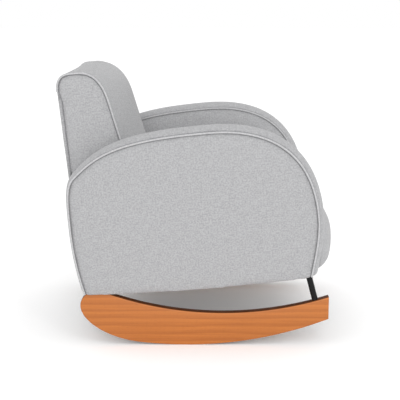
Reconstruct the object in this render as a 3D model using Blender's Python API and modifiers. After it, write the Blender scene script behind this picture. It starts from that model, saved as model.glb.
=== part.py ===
"""Upholstered rocking club chair, built up as it is on the bench.

Row frame: metres, +Z up, the chair faces -Y, its right arm (the sitter's right) is at -X and the
origin is on the floor below the middle of its bounding box. The padded body is built square in its
own frame, whose XY plane is the underside of the body, and is then tipped back onto the rockers.
Outlines are (y, z) pairs in that side plane.
"""
import math

import bmesh
import bpy
from mathutils import Matrix, Vector

# ---- fits -------------------------------------------------------------------------------------
GAP = 0.0003                    # kept between pieces that touch
BOLT_CLEARANCE = 0.0003         # kept round a bolt or post in its hole

# ---- body -------------------------------------------------------------------------------------
OVERALL_WIDTH = 0.750
BODY_TILT = math.radians(4.66)  # the body leans back on its rockers
BODY_Y = -0.012                 # body frame's origin in the row frame
BODY_Z = 0.1945

# ---- arms -------------------------------------------------------------------------------------
ARM_WIDTH = 0.095
ARM_HEIGHT = 0.476              # seam height over the underside, at the crest
ARM_FRONT = -0.374              # foremost point of the seam
ARM_REAR = 0.394                # rearmost point of the seam
ARM_CREST_Y = -0.060
ARM_FRONT_FOOT = 0.033          # the front runs back this far at its foot
ARM_REAR_FOOT = 0.024
ARM_CROWN = 0.018               # the boxing strip swells this far past its seams
ARM_REAR_CROWN = 0.007          # and this far down the arm's rear
ARM_RIM = 0.018                 # padding over the edges of the arm boards
OUTER_PAD = 0.012
INNER_PAD = 0.015
ARM_BOARD = 0.009
ARM_POST_DEPTH = 0.040
ARM_RAIL_HEIGHT = 0.040
ARM_RAIL_SETIN = 0.012          # bottom rail's front end behind the arm boards' front edge
WELT_DIAMETER = 0.006

# ---- seat -------------------------------------------------------------------------------------
RAIL_THICKNESS = 0.022
SEAT_RAIL_HEIGHT = 0.080
SEAT_RAIL_SETIN = 0.029         # front rail's front face behind the arm's foremost seam
SEAT_RAIL_SETBACK = 0.167       # rear rail's rear face ahead of the arm's rearmost seam
SPRING_WIRE = 0.0038
SPRING_ARCH = 0.025
SPRING_COUNT = 5
SPRING_PITCH = 0.075            # length of one full wave
SPRING_WAVE = 0.022             # half the width of a wave
DECK_THICKNESS = 0.010
SEAT_TOP = 0.215                # over the underside, at the sides
SEAT_CROWN = 0.015
SEAT_NOSE = 0.040               # padding ahead of the front rail, at the sides
SEAT_NOSE_CROWN = 0.051         # the middle of the nose swells this much further
SEAT_NOSE_TUCK = 0.021
CUSHION_SETBACK = 0.057         # cushion's rear end ahead of the rear rail's rear face
DUST_COVER = 0.0015

# ---- back -------------------------------------------------------------------------------------
BACK_HEIGHT = 0.679             # seam height over the underside
BACK_RAKE = 0.0075              # top of the back behind the arms' rearmost seam
BACK_LIFT = 0.025               # lower edge of the inside back over the seat's sides
BACK_FRAME_CLEARANCE = 0.019    # between the top of the back frame and the outside back
BACK_POST_WIDTH = 0.030
BACK_POST_DEPTH = 0.035
BACK_RAIL_HEIGHT = 0.060
BACK_RAIL_DEPTH = 0.025
BACK_FRAME_DROP = 0.079         # top of the back frame below the top seam
BACK_FACE_LEAN = math.radians(12.5)
BACK_FACE_TOP = 0.160           # front seam's distance from the rear at the upper bend
BACK_FACE_DROP = 0.095          # the upper bend starts this far below the top seam
BACK_CROWN = 0.053              # the inside back swells this far forward
BACK_TOP_CROWN = 0.011
BACK_SIDE_PANEL = 0.012
OUTSIDE_BACK = 0.014
WEBBING_WIDTH = 0.050
WEBBING_THICKNESS = 0.002
WEBBING_HEIGHTS = (0.29, 0.38, 0.47)

# ---- rockers, posts and fasteners ---------------------------------------------------------------
ROCKER_WIDTH = 0.030
ROCKER_INSET = 0.015            # rocker's outer face in from the arm's outer face
ROCKER_RADIUS = 1.200           # of the sole
ROCKER_CONTACT_Y = 0.038        # where the sole meets the floor
ROCKER_WAIST = 0.104            # height of the top edge at its lowest
ROCKER_WAIST_Y = -0.075
ROCKER_TOP_RADIUS = 1.070       # of the top, which meets the body at its rear
ROCKER_REACH = 0.030            # front end ahead of the arm's foremost seam
ROCKER_SEAT_INSET = 0.012       # rear end of the flat that the body sits on, ahead of the arm's foot
ROCKER_EDGE = 0.004
POST_DIAMETER = 0.019
POST_SETBACK = 0.043            # post's axis at the underside, behind the arm's foremost seam
POST_LEAN = math.radians(15.1)  # from the vertical, foot forward
POST_SOCKET = 0.012             # depth of the post's socket in the rocker
PLATE_THICKNESS = 0.003
PLATE_WIDTH = 0.040
PLATE_LENGTH = 0.070
PLATE_LEAD = 0.0015             # plate's front edge ahead of the post
BOLT_DIAMETER = 0.008
BOLT_HEAD_DIAMETER = 0.014
BOLT_HEAD_HEIGHT = 0.006
BOLT_GRIP = 0.025               # length of bolt inside the post
BOLT_RECESS = 0.012             # depth of the head's counterbore, from the sole at its axis
STUD_DEPTH = 0.045              # rear stud below the underside
STUD_COVER = 0.004              # arm rail left over the top of a stud
STUD_SPACING = 0.024
STUD_OVERRUN = 0.010            # cutters run past the faces that they open
BORE_OVERRUN = 0.001
ARM_BOLT_Y = (-0.200, 0.100)
ARM_BOLT_RISE = 0.018           # over the arm's bottom rail

SIDES = (("right", -1), ("left", 1))
FINISHES = {
    "fabric": ((0.52, 0.52, 0.53, 1.0), 0.95, 0.0),
    "welt": ((0.56, 0.56, 0.57, 1.0), 0.92, 0.0),
    "cherry": ((0.60, 0.23, 0.07, 1.0), 0.42, 0.0),
    "plywood": ((0.62, 0.45, 0.27, 1.0), 0.70, 0.0),
    "timber": ((0.66, 0.50, 0.30, 1.0), 0.75, 0.0),
    "black_steel": ((0.01, 0.01, 0.01, 1.0), 0.25, 0.9),
    "zinc": ((0.55, 0.56, 0.58, 1.0), 0.35, 1.0),
    "spring_steel": ((0.25, 0.26, 0.28, 1.0), 0.40, 1.0),
    "felt": ((0.30, 0.29, 0.27, 1.0), 0.98, 0.0),
    "webbing": ((0.12, 0.12, 0.13, 1.0), 0.85, 0.0),
    "dust_cloth": ((0.03, 0.03, 0.03, 1.0), 0.95, 0.0),
}

for old in list(bpy.data.objects):
    bpy.data.objects.remove(old)

chair = bpy.data.collections.new("rocking_chair")
cutters = bpy.data.collections.new("cutters")
bpy.context.scene.collection.children.link(chair)
bpy.context.scene.collection.children.link(cutters)


# ---- making and placing ---------------------------------------------------------------------------
def frame_empty(name, location, tilt, parent=None):
    """An empty that carries a tilted frame; a positive tilt leans +Z towards +Y."""
    empty = bpy.data.objects.new(name, None)
    chair.objects.link(empty)
    empty.location = location
    empty.rotation_euler = (-tilt, 0.0, 0.0)
    empty.parent = parent
    return empty


def place(obj, finish, parent):
    """Give a piece its finish, its place in the chair and the frame that it is drawn in."""
    for owner in list(obj.users_collection):
        owner.objects.unlink(obj)
    chair.objects.link(obj)
    colour, roughness, metallic = FINISHES[finish]
    material = bpy.data.materials.new(obj.name + "_" + finish)
    material.use_nodes = True
    shader = material.node_tree.nodes["Principled BSDF"]
    shader.inputs["Base Color"].default_value = colour
    shader.inputs["Roughness"].default_value = roughness
    shader.inputs["Metallic"].default_value = metallic
    material.diffuse_color = colour
    obj.data.materials.clear()
    obj.data.materials.append(material)
    obj.parent = parent
    return obj


def box(name, low, high, finish, parent):
    """A sawn board between two corners of its parent's frame."""
    low, high = Vector(low), Vector(high)
    bpy.ops.mesh.primitive_cube_add(size=1.0, location=(0.0, 0.0, 0.0))
    obj = bpy.context.object
    obj.name = name
    obj.data.transform(Matrix.Diagonal((high - low).to_4d()))
    obj.location = (low + high) / 2.0
    return place(obj, finish, parent)


def between(sign, inner, outer):
    """X span of a piece on one side, given its distances from the centre plane."""
    return tuple(sorted((sign * inner, sign * outer)))


def mesh_from_curve(obj):
    """Turn a curve object into a welded mesh object, so that it can be cut or joined."""
    evaluated = obj.evaluated_get(bpy.context.evaluated_depsgraph_get())
    mesh = bpy.data.meshes.new_from_object(evaluated)
    shape = bmesh.new()
    shape.from_mesh(mesh)
    bmesh.ops.remove_doubles(shape, verts=shape.verts, dist=1e-6)
    bmesh.ops.recalc_face_normals(shape, faces=shape.faces)
    shape.to_mesh(mesh)
    shape.free()
    name = obj.name
    solid = bpy.data.objects.new(name + "_solid", mesh)
    solid.matrix_world = obj.matrix_world
    bpy.data.objects.remove(obj)
    solid.name = name
    return solid


def slab(name, outline, span, finish, parent):
    """A flat outline in the side plane, extruded across the X span."""
    curve = bpy.data.curves.new(name, "CURVE")
    curve.dimensions = "2D"
    curve.fill_mode = "BOTH"
    curve.extrude = (span[1] - span[0]) / 2.0
    spline = curve.splines.new("POLY")
    spline.points.add(len(outline) - 1)
    for point, (y, z) in zip(spline.points, outline):
        point.co = (y, z, 0.0, 1.0)
    spline.use_cyclic_u = True
    obj = bpy.data.objects.new(name, curve)
    chair.objects.link(obj)
    obj.rotation_euler = (math.pi / 2.0, 0.0, math.pi / 2.0)
    obj.location.x = (span[0] + span[1]) / 2.0
    bpy.context.view_layer.update()
    return place(mesh_from_curve(obj), finish, parent)


def loft(name, stations, finish, parent):
    """A pad skinned over cross-sections, each an X place and an outline of the same count."""
    shape = bmesh.new()
    rings = [[shape.verts.new((x, y, z)) for y, z in outline] for x, outline in stations]
    for ring, following in zip(rings, rings[1:]):
        for index in range(len(ring)):
            after = (index + 1) % len(ring)
            shape.faces.new((ring[index], ring[after], following[after], following[index]))
    shape.faces.new(rings[0])
    shape.faces.new(rings[-1])
    bmesh.ops.recalc_face_normals(shape, faces=shape.faces)
    mesh = bpy.data.meshes.new(name)
    shape.to_mesh(mesh)
    shape.free()
    obj = bpy.data.objects.new(name, mesh)
    chair.objects.link(obj)
    mesh.shade_smooth()
    mesh.set_sharp_from_angle(angle=math.radians(35.0))
    return place(obj, finish, parent)


def tube(name, points, diameter, sides, finish, parent):
    """A round cord or wire along points of its parent's frame."""
    curve = bpy.data.curves.new(name, "CURVE")
    curve.dimensions = "3D"
    curve.bevel_depth = diameter / 2.0
    curve.bevel_resolution = sides // 2 - 2
    curve.use_fill_caps = True
    spline = curve.splines.new("POLY")
    spline.points.add(len(points) - 1)
    for point, place_at in zip(spline.points, points):
        point.co = (*place_at, 1.0)
    obj = bpy.data.objects.new(name, curve)
    chair.objects.link(obj)
    return place(obj, finish, parent)


def rod_mesh(name, start, end, diameter, sides=16):
    """A cylinder mesh from start to end."""
    start, end = Vector(start), Vector(end)
    shape = bmesh.new()
    turn = (end - start).to_track_quat("Z", "Y").to_matrix().to_4x4()
    bmesh.ops.create_cone(shape, cap_ends=True, segments=sides, radius1=diameter / 2.0,
                          radius2=diameter / 2.0, depth=(end - start).length,
                          matrix=Matrix.Translation((start + end) / 2.0) @ turn)
    mesh = bpy.data.meshes.new(name)
    shape.to_mesh(mesh)
    shape.free()
    return mesh


def rod(name, start, end, diameter, finish, parent):
    """A plain round rod or shank."""
    obj = bpy.data.objects.new(name, rod_mesh(name, start, end, diameter))
    chair.objects.link(obj)
    obj.data.shade_smooth()
    obj.data.set_sharp_from_angle(angle=math.radians(35.0))
    return place(obj, finish, parent)


def combine(target, mesh, operation, frame):
    """Join a hidden tool's solid to a piece, or cut it away."""
    tool = bpy.data.objects.new(mesh.name, mesh)
    cutters.objects.link(tool)
    tool.parent = frame
    tool.display_type = "WIRE"
    tool.hide_render = True
    step = target.modifiers.new(mesh.name, "BOOLEAN")
    step.operation = operation
    step.solver = "EXACT"
    step.object = tool


def drill(target, name, start, end, diameter):
    """Cut a round hole through a piece, from start to end in the piece's parent frame."""
    combine(target, rod_mesh(name, start, end, diameter), "DIFFERENCE", target.parent)


def bolt(name, head_end, along, tip, parent):
    """A bolt whose head starts at head_end and whose shank runs on to its tip."""
    head = rod(name, head_end, head_end + along * BOLT_HEAD_HEIGHT, BOLT_HEAD_DIAMETER, "zinc", parent)
    shank = rod_mesh(name + "_shank", head_end + along * BOLT_HEAD_HEIGHT / 2.0, tip, BOLT_DIAMETER)
    combine(head, shank, "UNION", parent)


# ---- fits that several pieces share --------------------------------------------------------------
HALF_WIDTH = OVERALL_WIDTH / 2.0
INNER_FACE = HALF_WIDTH - ARM_WIDTH                 # inner face of each arm
SEAT_HALF = INNER_FACE - GAP
SEAM_ROOM = WELT_DIAMETER + 2.0 * GAP               # room that a welt takes out of a pad's rim
BOARD_OUT = HALF_WIDTH - OUTER_PAD - GAP            # outer face of the outer arm board
BOARD_IN = INNER_FACE + INNER_PAD + GAP             # inner face of the inner arm board
CORE_OUT = BOARD_OUT - ARM_BOARD - GAP              # posts and rails fill the space between
CORE_IN = BOARD_IN + ARM_BOARD + GAP
ARM_FOOT_REAR = ARM_REAR - ARM_REAR_FOOT
ARM_BOLT_Z = ARM_RAIL_HEIGHT + ARM_BOLT_RISE
SEAT_RAIL_FRONT = ARM_FRONT + SEAT_RAIL_SETIN
SEAT_RAIL_REAR = ARM_REAR - SEAT_RAIL_SETBACK
SPRING_Z = SEAT_RAIL_HEIGHT + GAP + SPRING_WIRE / 2.0
DECK_Z = SPRING_Z + SPRING_ARCH + SPRING_WIRE / 2.0 + GAP
CUSHION_Z = DECK_Z + DECK_THICKNESS + GAP
CUSHION_REAR = SEAT_RAIL_REAR - CUSHION_SETBACK
BACK_BASE = SEAT_TOP + BACK_LIFT
BACK_TOP_REAR = ARM_REAR + BACK_RAKE
BACK_FRAME_TOP = BACK_HEIGHT - BACK_FRAME_DROP
BACK_LEDGE = BACK_FRAME_TOP + 3.0 * GAP             # the inside back's top rests over the frame
POST_TOP_Y = ARM_FRONT + POST_SETBACK
ROCKER_FRONT = ARM_FRONT - ROCKER_REACH
ROCKER_OUT = HALF_WIDTH - ROCKER_INSET
ROCKER_MIDDLE = ROCKER_OUT - ROCKER_WIDTH / 2.0
HOLE_DIAMETER = BOLT_DIAMETER + 2.0 * BOLT_CLEARANCE


def back_lean():
    """Lean of the back frame that keeps its top rear corner clear of the outside back."""
    reach = BACK_TOP_REAR - OUTSIDE_BACK - BACK_FRAME_CLEARANCE - SEAT_RAIL_REAR
    diagonal = math.hypot(reach, BACK_FRAME_TOP)
    return math.acos(BACK_POST_DEPTH / diagonal) - math.atan2(BACK_FRAME_TOP, reach)


BACK_LEAN = back_lean()


# ---- outlines ---------------------------------------------------------------------------------------
def bezier(start, start_handle, end, end_handle, steps):
    """Points of one Bezier stretch, without its last; handles are offsets from their ends."""
    a, d = Vector(start), Vector(end)
    b, c = a + Vector(start_handle), d + Vector(end_handle)
    points = []
    for step in range(steps):
        t = step / steps
        s = 1.0 - t
        point = a * s ** 3 + b * 3 * s * s * t + c * 3 * s * t * t + d * t ** 3
        points.append((point.x, point.y))
    return points


def arc_height(y, lowest_y, lowest_z, radius):
    """Height of a circular sweep of the given radius over its lowest point."""
    return lowest_z + radius - math.sqrt(radius ** 2 - (y - lowest_y) ** 2)


def inset(path, distance):
    """An open path moved to its right-hand side by distance, with mitred corners."""
    moved = []
    for index, (y, z) in enumerate(path):
        here = Vector((y, z))
        before = here - Vector(path[index - 1]) if index else Vector(path[1]) - here
        after = Vector(path[index + 1]) - here if index + 1 < len(path) else before
        before, after = before.normalized(), after.normalized()
        along = (before + after).normalized()
        reach = distance / along.dot(after)
        moved.append((y + along.y * reach, z - along.x * reach))
    return moved


def arm_path(distance=0.0):
    """The arm's seam from its front foot over the top to its rear foot, moved in by distance."""
    front_foot = (ARM_FRONT + ARM_FRONT_FOOT, 0.0)
    foremost = (ARM_FRONT, 0.175)
    crest = (ARM_CREST_Y, ARM_HEIGHT)
    shoulder = (ARM_REAR - 0.027, ARM_HEIGHT - 0.107)
    rearmost = (ARM_REAR, 0.210)
    rear_foot = (ARM_FOOT_REAR, 0.0)
    path = bezier(front_foot, (-0.008, 0.035), foremost, (0.0, -0.060), 4)
    path += bezier(foremost, (0.0, 0.200), crest, (-0.200, 0.0), 9)
    path += bezier(crest, (0.280, 0.0), shoulder, (-0.075, 0.066), 6)
    path += bezier(shoulder, (0.026, -0.023), rearmost, (0.0, 0.090), 4)
    path += bezier(rearmost, (0.0, -0.080), rear_foot, (0.014, 0.060), 4)
    path.append(rear_foot)
    path = inset(path, distance)
    path[0] = (path[0][0], 0.0)
    path[-1] = (path[-1][0], 0.0)
    return path


def height_over(path, y):
    """Greatest height at which a path passes over y."""
    heights = [0.0]
    for (y1, z1), (y2, z2) in zip(path, path[1:]):
        if min(y1, y2) <= y <= max(y1, y2) and y1 != y2:
            heights.append(z1 + (z2 - z1) * (y - y1) / (y2 - y1))
    return max(heights)


def cut_at(path, z):
    """A falling path down to a height, with its last point on it."""
    kept = [point for point in path if point[1] > z + GAP]
    (y1, z1), (y2, z2) = kept[-1], path[len(kept)]
    return kept + [(y1 + (y2 - y1) * (z - z1) / (z2 - z1), z)]


def arm_crown_path(swell):
    """The boxing strip's outline at a share of its crown, which dies away down the arm's rear."""
    path = []
    for (y, z), (full_y, full_z) in zip(arm_path(), arm_path(-ARM_CROWN)):
        rearward = max(0.0, (y - ARM_CREST_Y) / (ARM_REAR - ARM_CREST_Y))
        share = swell * (1.0 - (1.0 - ARM_REAR_CROWN / ARM_CROWN) * min(1.0, rearward) ** 2)
        path.append((y + (full_y - y) * share, z + (full_z - z) * share))
    return path


def back_path(swell=0.0):
    """The back's seam from the seat up its front and over its top to the rear edge.

    A swell of 1 gives the crowned middle of the inside back, and 0 the seam at its side.
    """
    push, lift = BACK_CROWN * swell, BACK_TOP_CROWN * swell
    bend = (BACK_TOP_REAR - BACK_FACE_TOP - push, BACK_HEIGHT - BACK_FACE_DROP + lift)
    run = (bend[1] - BACK_BASE) * math.tan(BACK_FACE_LEAN)
    foot = (bend[0] - run, BACK_BASE)
    top = (BACK_TOP_REAR - 0.071 - 0.7 * push, BACK_HEIGHT + lift)
    top_rear = (BACK_TOP_REAR - 0.046, BACK_HEIGHT + 0.4 * lift)
    rear = (BACK_TOP_REAR, BACK_HEIGHT - 0.055)
    path = bezier(foot, (0.3 * run, 0.09), bend, (-0.022, -0.10), 4)
    path += bezier(bend, (0.0125, 0.056), top, (-0.050, 0.0), 5)
    path += bezier(top, (0.008, 0.0), top_rear, (-0.008, 0.1 * lift), 2)
    path += bezier(top_rear, (0.030, 0.0), rear, (0.0, 0.036), 4)
    path.append(rear)
    return path


def rear_path():
    """The body's rear face between the arms, from the top of the outside back to its foot."""
    top = (BACK_TOP_REAR, BACK_FRAME_TOP + GAP)
    rearmost = (ARM_REAR, 0.210)
    foot = (ARM_FOOT_REAR, 0.0)
    path = bezier(top, (-0.001, -0.10), rearmost, (0.0, 0.06), 5)
    path += bezier(rearmost, (0.0, -0.080), foot, (0.014, 0.060), 4)
    path.append(foot)
    return path


# ---- body frame to row frame ---------------------------------------------------------------------
def to_row(y, z):
    """A body-frame side point in the row frame."""
    c, s = math.cos(BODY_TILT), math.sin(BODY_TILT)
    return (BODY_Y + y * c + z * s, BODY_Z - y * s + z * c)


def underside_height(y):
    """Row height of the body's underside over a row Y."""
    return BODY_Z - (y - BODY_Y) * math.tan(BODY_TILT)


def rocker_seat():
    """Rear and front ends of the flat on a rocker's top that the body sits on, in the row frame."""
    rear_y = to_row(ARM_FOOT_REAR, 0.0)[0] - ROCKER_SEAT_INSET
    gap = GAP / math.cos(BODY_TILT)
    over_waist = Vector((0.0, ROCKER_WAIST_Y, underside_height(ROCKER_WAIST_Y) - gap))
    rearward = Vector((0.0, math.cos(BODY_TILT), -math.sin(BODY_TILT)))
    reach = reach_to_arc(over_waist, rearward, ROCKER_WAIST_Y, ROCKER_WAIST, ROCKER_TOP_RADIUS)
    front = over_waist + rearward * reach
    return (rear_y, underside_height(rear_y) - gap), (front.y, front.z)


def rocker_outline():
    """The rocker's side outline in the row frame."""
    seat_rear, seat_front = rocker_seat()
    nose = (seat_rear[0] + 0.0255, seat_rear[1] - 0.038)
    sole_end_y = nose[0] - 0.182
    sole_end = (sole_end_y, arc_height(sole_end_y, ROCKER_CONTACT_Y, 0.0, ROCKER_RADIUS))
    steepness = math.tan(math.asin((sole_end_y - ROCKER_CONTACT_Y) / ROCKER_RADIUS))

    facets_ahead = 11
    facet = (ROCKER_CONTACT_Y - ROCKER_FRONT) / (facets_ahead + 0.5)
    facets_behind = int((sole_end_y - ROCKER_CONTACT_Y) / facet)
    outline = []
    for step in range(-facets_ahead, facets_behind + 1):
        y = ROCKER_CONTACT_Y + (step - 0.5) * facet
        outline.append((y, arc_height(y, ROCKER_CONTACT_Y, 0.0, ROCKER_RADIUS)))
    sag = arc_height(ROCKER_CONTACT_Y + facet / 2.0, ROCKER_CONTACT_Y, 0.0, ROCKER_RADIUS)
    outline = [(y, z - sag) for y, z in outline]
    outline += bezier(sole_end, (0.10, 0.10 * steepness), nose, (0.0, -0.050), 9)
    outline += bezier(nose, (0.0, 0.018), seat_rear, (0.012, -0.001), 4)
    outline.append(seat_rear)
    top_steps = 16
    for step in range(top_steps + 1):
        y = seat_front[0] + (ROCKER_FRONT - seat_front[0]) * step / top_steps
        outline.append((y, arc_height(y, ROCKER_WAIST_Y, ROCKER_WAIST, ROCKER_TOP_RADIUS)))
    return outline


# ---- arms ---------------------------------------------------------------------------------------------
def build_arm(side, sign):
    """Two plywood sides on softwood posts and a bottom rail, padded, boxed and piped."""
    core = arm_path(ARM_RIM + GAP)
    slab(side + "_arm_outer_board", core, between(sign, BOARD_OUT - ARM_BOARD, BOARD_OUT), "plywood", body)
    inner_board = slab(side + "_arm_inner_board", core, between(sign, BOARD_IN, BOARD_IN + ARM_BOARD),
                       "plywood", body)
    x_low, x_high = between(sign, CORE_IN, CORE_OUT)
    rail_front = core[0][0] + ARM_RAIL_SETIN
    rail_rear = core[-1][0] - GAP
    rail = box(side + "_arm_bottom_rail", (x_low, rail_front, 0.0), (x_high, rail_rear, ARM_RAIL_HEIGHT),
               "timber", body)
    for name, y_low in (("front", rail_front), ("rear", rail_rear - ARM_POST_DEPTH)):
        y_high = y_low + ARM_POST_DEPTH
        top = min(height_over(core, y_low), height_over(core, y_high)) - ARM_RIM
        box(side + "_arm_" + name + "_post", (x_low, y_low, ARM_RAIL_HEIGHT + GAP), (x_high, y_high, top),
            "timber", body)

    rim = arm_path(SEAM_ROOM)
    slab(side + "_arm_outer_pad", rim, between(sign, HALF_WIDTH - OUTER_PAD, HALF_WIDTH), "fabric", body)
    inner_pad = slab(side + "_arm_inner_pad", rim, between(sign, INNER_FACE, INNER_FACE + INNER_PAD),
                     "fabric", body)
    stations = []
    for step, swell in enumerate((0.0, 0.75, 1.0, 0.75, 0.0)):
        x = BOARD_IN + (BOARD_OUT - BOARD_IN) * step / 4.0
        band = arm_crown_path(swell) + list(reversed(arm_path(ARM_RIM)))
        stations.append((sign * x, band))
    loft(side + "_arm_boxing", stations, "fabric", body)
    seam = arm_path(WELT_DIAMETER / 2.0)
    seam[0] = (seam[0][0], WELT_DIAMETER / 2.0)
    seam[-1] = (seam[-1][0], WELT_DIAMETER / 2.0)
    for name, x in (("outer", HALF_WIDTH - OUTER_PAD + WELT_DIAMETER / 2.0),
                    ("inner", INNER_FACE + INNER_PAD - WELT_DIAMETER / 2.0)):
        tube(side + "_arm_" + name + "_welt", [(sign * x, y, z) for y, z in seam], WELT_DIAMETER - GAP, 6,
             "welt", body)
    return inner_board, inner_pad, rail


# ---- seat ---------------------------------------------------------------------------------------------
def seat_outline(swell):
    """Seat cushion's side outline: over the deck, and down over the front rail."""
    nose_y = SEAT_RAIL_FRONT - SEAT_NOSE - SEAT_NOSE_CROWN * swell
    foot = (nose_y + SEAT_NOSE_TUCK, 0.0)
    nose = (nose_y, 0.100)
    top_front = (SEAT_RAIL_FRONT + 0.045, SEAT_TOP + SEAT_CROWN * swell)
    top_rear = (CUSHION_REAR, SEAT_TOP - 0.010)
    outline = bezier(foot, (-0.010, 0.030), nose, (0.0, -0.040), 3)
    outline += bezier(nose, (0.0, 0.070), top_front, (-0.060, 0.0), 6)
    outline += bezier(top_front, (0.150, 0.010 * swell), top_rear, (-0.150, 0.010 * swell), 3)
    outline += [top_rear, (CUSHION_REAR, CUSHION_Z), (SEAT_RAIL_FRONT - GAP, CUSHION_Z)]
    outline.append((SEAT_RAIL_FRONT - GAP, 0.0))
    return outline


def crowned_stations(half, section):
    """Cross-sections of a pad that swells from nothing at its sides to its full crown."""
    fractions = (-1.0, -0.8, -0.4, 0.0, 0.4, 0.8, 1.0)
    return [(half * share, section(1.0 - share ** 2)) for share in fractions]


def build_seat():
    """A box of four rails, arched springs, a felt deck and the tight cushion over them."""
    rail_rear = SEAT_RAIL_REAR - RAIL_THICKNESS
    box("seat_front_rail", (-SEAT_HALF, SEAT_RAIL_FRONT, 0.0),
        (SEAT_HALF, SEAT_RAIL_FRONT + RAIL_THICKNESS, SEAT_RAIL_HEIGHT), "timber", body)
    box("seat_rear_rail", (-SEAT_HALF, rail_rear, 0.0), (SEAT_HALF, SEAT_RAIL_REAR, SEAT_RAIL_HEIGHT),
        "timber", body)
    side_rails = {}
    for side, sign in SIDES:
        x_low, x_high = between(sign, SEAT_HALF - RAIL_THICKNESS, SEAT_HALF)
        side_rails[side] = box("seat_" + side + "_rail",
                               (x_low, SEAT_RAIL_FRONT + RAIL_THICKNESS + GAP, 0.0),
                               (x_high, rail_rear - GAP, SEAT_RAIL_HEIGHT), "timber", body)

    spring_front = SEAT_RAIL_FRONT + RAIL_THICKNESS / 2.0
    spring_rear = SEAT_RAIL_REAR - RAIL_THICKNESS / 2.0
    length = spring_rear - spring_front
    waves = round(length / SPRING_PITCH)
    spacing = 2.0 * (SEAT_HALF - RAIL_THICKNESS) / SPRING_COUNT
    for number in range(SPRING_COUNT):
        middle = (number - (SPRING_COUNT - 1) / 2.0) * spacing
        points = []
        for step in range(waves * 6 + 1):
            share = step / (waves * 6)
            arch = 1.0 - (2.0 * share - 1.0) ** 2
            points.append((middle + SPRING_WAVE * math.sin(math.tau * waves * share),
                           spring_front + length * share, SPRING_Z + SPRING_ARCH * arch))
        tube("seat_spring_%d" % (number + 1), points, SPRING_WIRE, 6, "spring_steel", body)

    deck_half = SEAT_HALF - RAIL_THICKNESS / 2.0
    box("seat_deck_pad", (-deck_half, SEAT_RAIL_FRONT, DECK_Z),
        (deck_half, CUSHION_REAR, DECK_Z + DECK_THICKNESS), "felt", body)
    loft("seat_cushion", crowned_stations(SEAT_HALF, seat_outline), "fabric", body)
    box("dust_cover", (-SEAT_HALF, SEAT_RAIL_FRONT, -GAP - DUST_COVER),
        (SEAT_HALF, ARM_FOOT_REAR - OUTSIDE_BACK, -GAP), "dust_cloth", body)
    return side_rails


# ---- back ---------------------------------------------------------------------------------------------
def back_frame_front(z):
    """Y of the plane in front of the webbing, at a height over the underside."""
    stand_off = (WEBBING_THICKNESS + 2.0 * GAP) / math.cos(BACK_LEAN)
    return SEAT_RAIL_REAR + GAP - stand_off + z * math.tan(BACK_LEAN)


def inside_back_outline(swell):
    """Inside back pad's side outline: the face, the top and the rest of it over the frame."""
    outline = back_path(swell)
    outline += [(BACK_TOP_REAR, BACK_LEDGE), (back_frame_front(BACK_LEDGE), BACK_LEDGE),
                (back_frame_front(BACK_BASE), BACK_BASE)]
    return outline


def build_back():
    """A leaning timber frame with webbing, an inside back, two boxed sides and an outside back."""
    lean = frame_empty("back_lean", (0.0, SEAT_RAIL_REAR + GAP, 0.0), BACK_LEAN, body)
    length = (BACK_FRAME_TOP - BACK_POST_DEPTH * math.sin(BACK_LEAN)) / math.cos(BACK_LEAN)
    foot = BACK_POST_DEPTH * math.tan(BACK_LEAN)
    post_out = INNER_FACE - BACK_SIDE_PANEL - 2.0 * GAP
    post_in = post_out - BACK_POST_WIDTH
    for side, sign in SIDES:
        x_low, x_high = between(sign, post_in, post_out)
        box("back_" + side + "_post", (x_low, 0.0, foot), (x_high, BACK_POST_DEPTH, length), "timber", lean)
    rail_half = post_in - GAP
    for name, top in (("top", length), ("lower", BACK_BASE)):
        box("back_" + name + "_rail", (-rail_half, 0.0, top - BACK_RAIL_HEIGHT),
            (rail_half, BACK_RAIL_DEPTH, top), "timber", lean)
    for number, height in enumerate(WEBBING_HEIGHTS, start=1):
        box("back_webbing_%d" % number, (-post_out, -GAP - WEBBING_THICKNESS, height),
            (post_out, -GAP, height + WEBBING_WIDTH), "webbing", lean)

    pad_half = INNER_FACE - GAP - BACK_SIDE_PANEL - GAP
    loft("inside_back_pad", crowned_stations(pad_half, inside_back_outline), "fabric", body)
    rear = rear_path()
    slab("outside_back_panel", rear + list(reversed(inset(rear, OUTSIDE_BACK))), (-SEAT_HALF, SEAT_HALF),
         "fabric", body)
    side_edge = inset(back_path(), SEAM_ROOM)
    side_edge[0] = (side_edge[0][0], BACK_BASE)
    panel_rear = cut_at(inset(rear, OUTSIDE_BACK + GAP), BACK_BASE)
    panel_rear[0] = (panel_rear[0][0], BACK_LEDGE)
    outline = side_edge + [(side_edge[-1][0], BACK_LEDGE)] + panel_rear
    seam = inset(back_path(), WELT_DIAMETER / 2.0)
    for side, sign in SIDES:
        slab("back_" + side + "_side_panel", outline, between(sign, pad_half + GAP, SEAT_HALF), "fabric", body)
        x = sign * (pad_half + GAP + WELT_DIAMETER / 2.0)
        tube("back_" + side + "_welt", [(x, y, z) for y, z in seam], WELT_DIAMETER - GAP, 6, "welt", body)


# ---- rockers, posts and fasteners -------------------------------------------------------------------
def reach_to_arc(start, along, lowest_y, lowest_z, radius):
    """Distance from start along a downward direction to a circular sweep."""
    from_centre = start - Vector((start.x, lowest_y, lowest_z + radius))
    half_b = from_centre.dot(along)
    return -half_b + math.sqrt(half_b ** 2 - from_centre.length_squared + radius ** 2)


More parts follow.
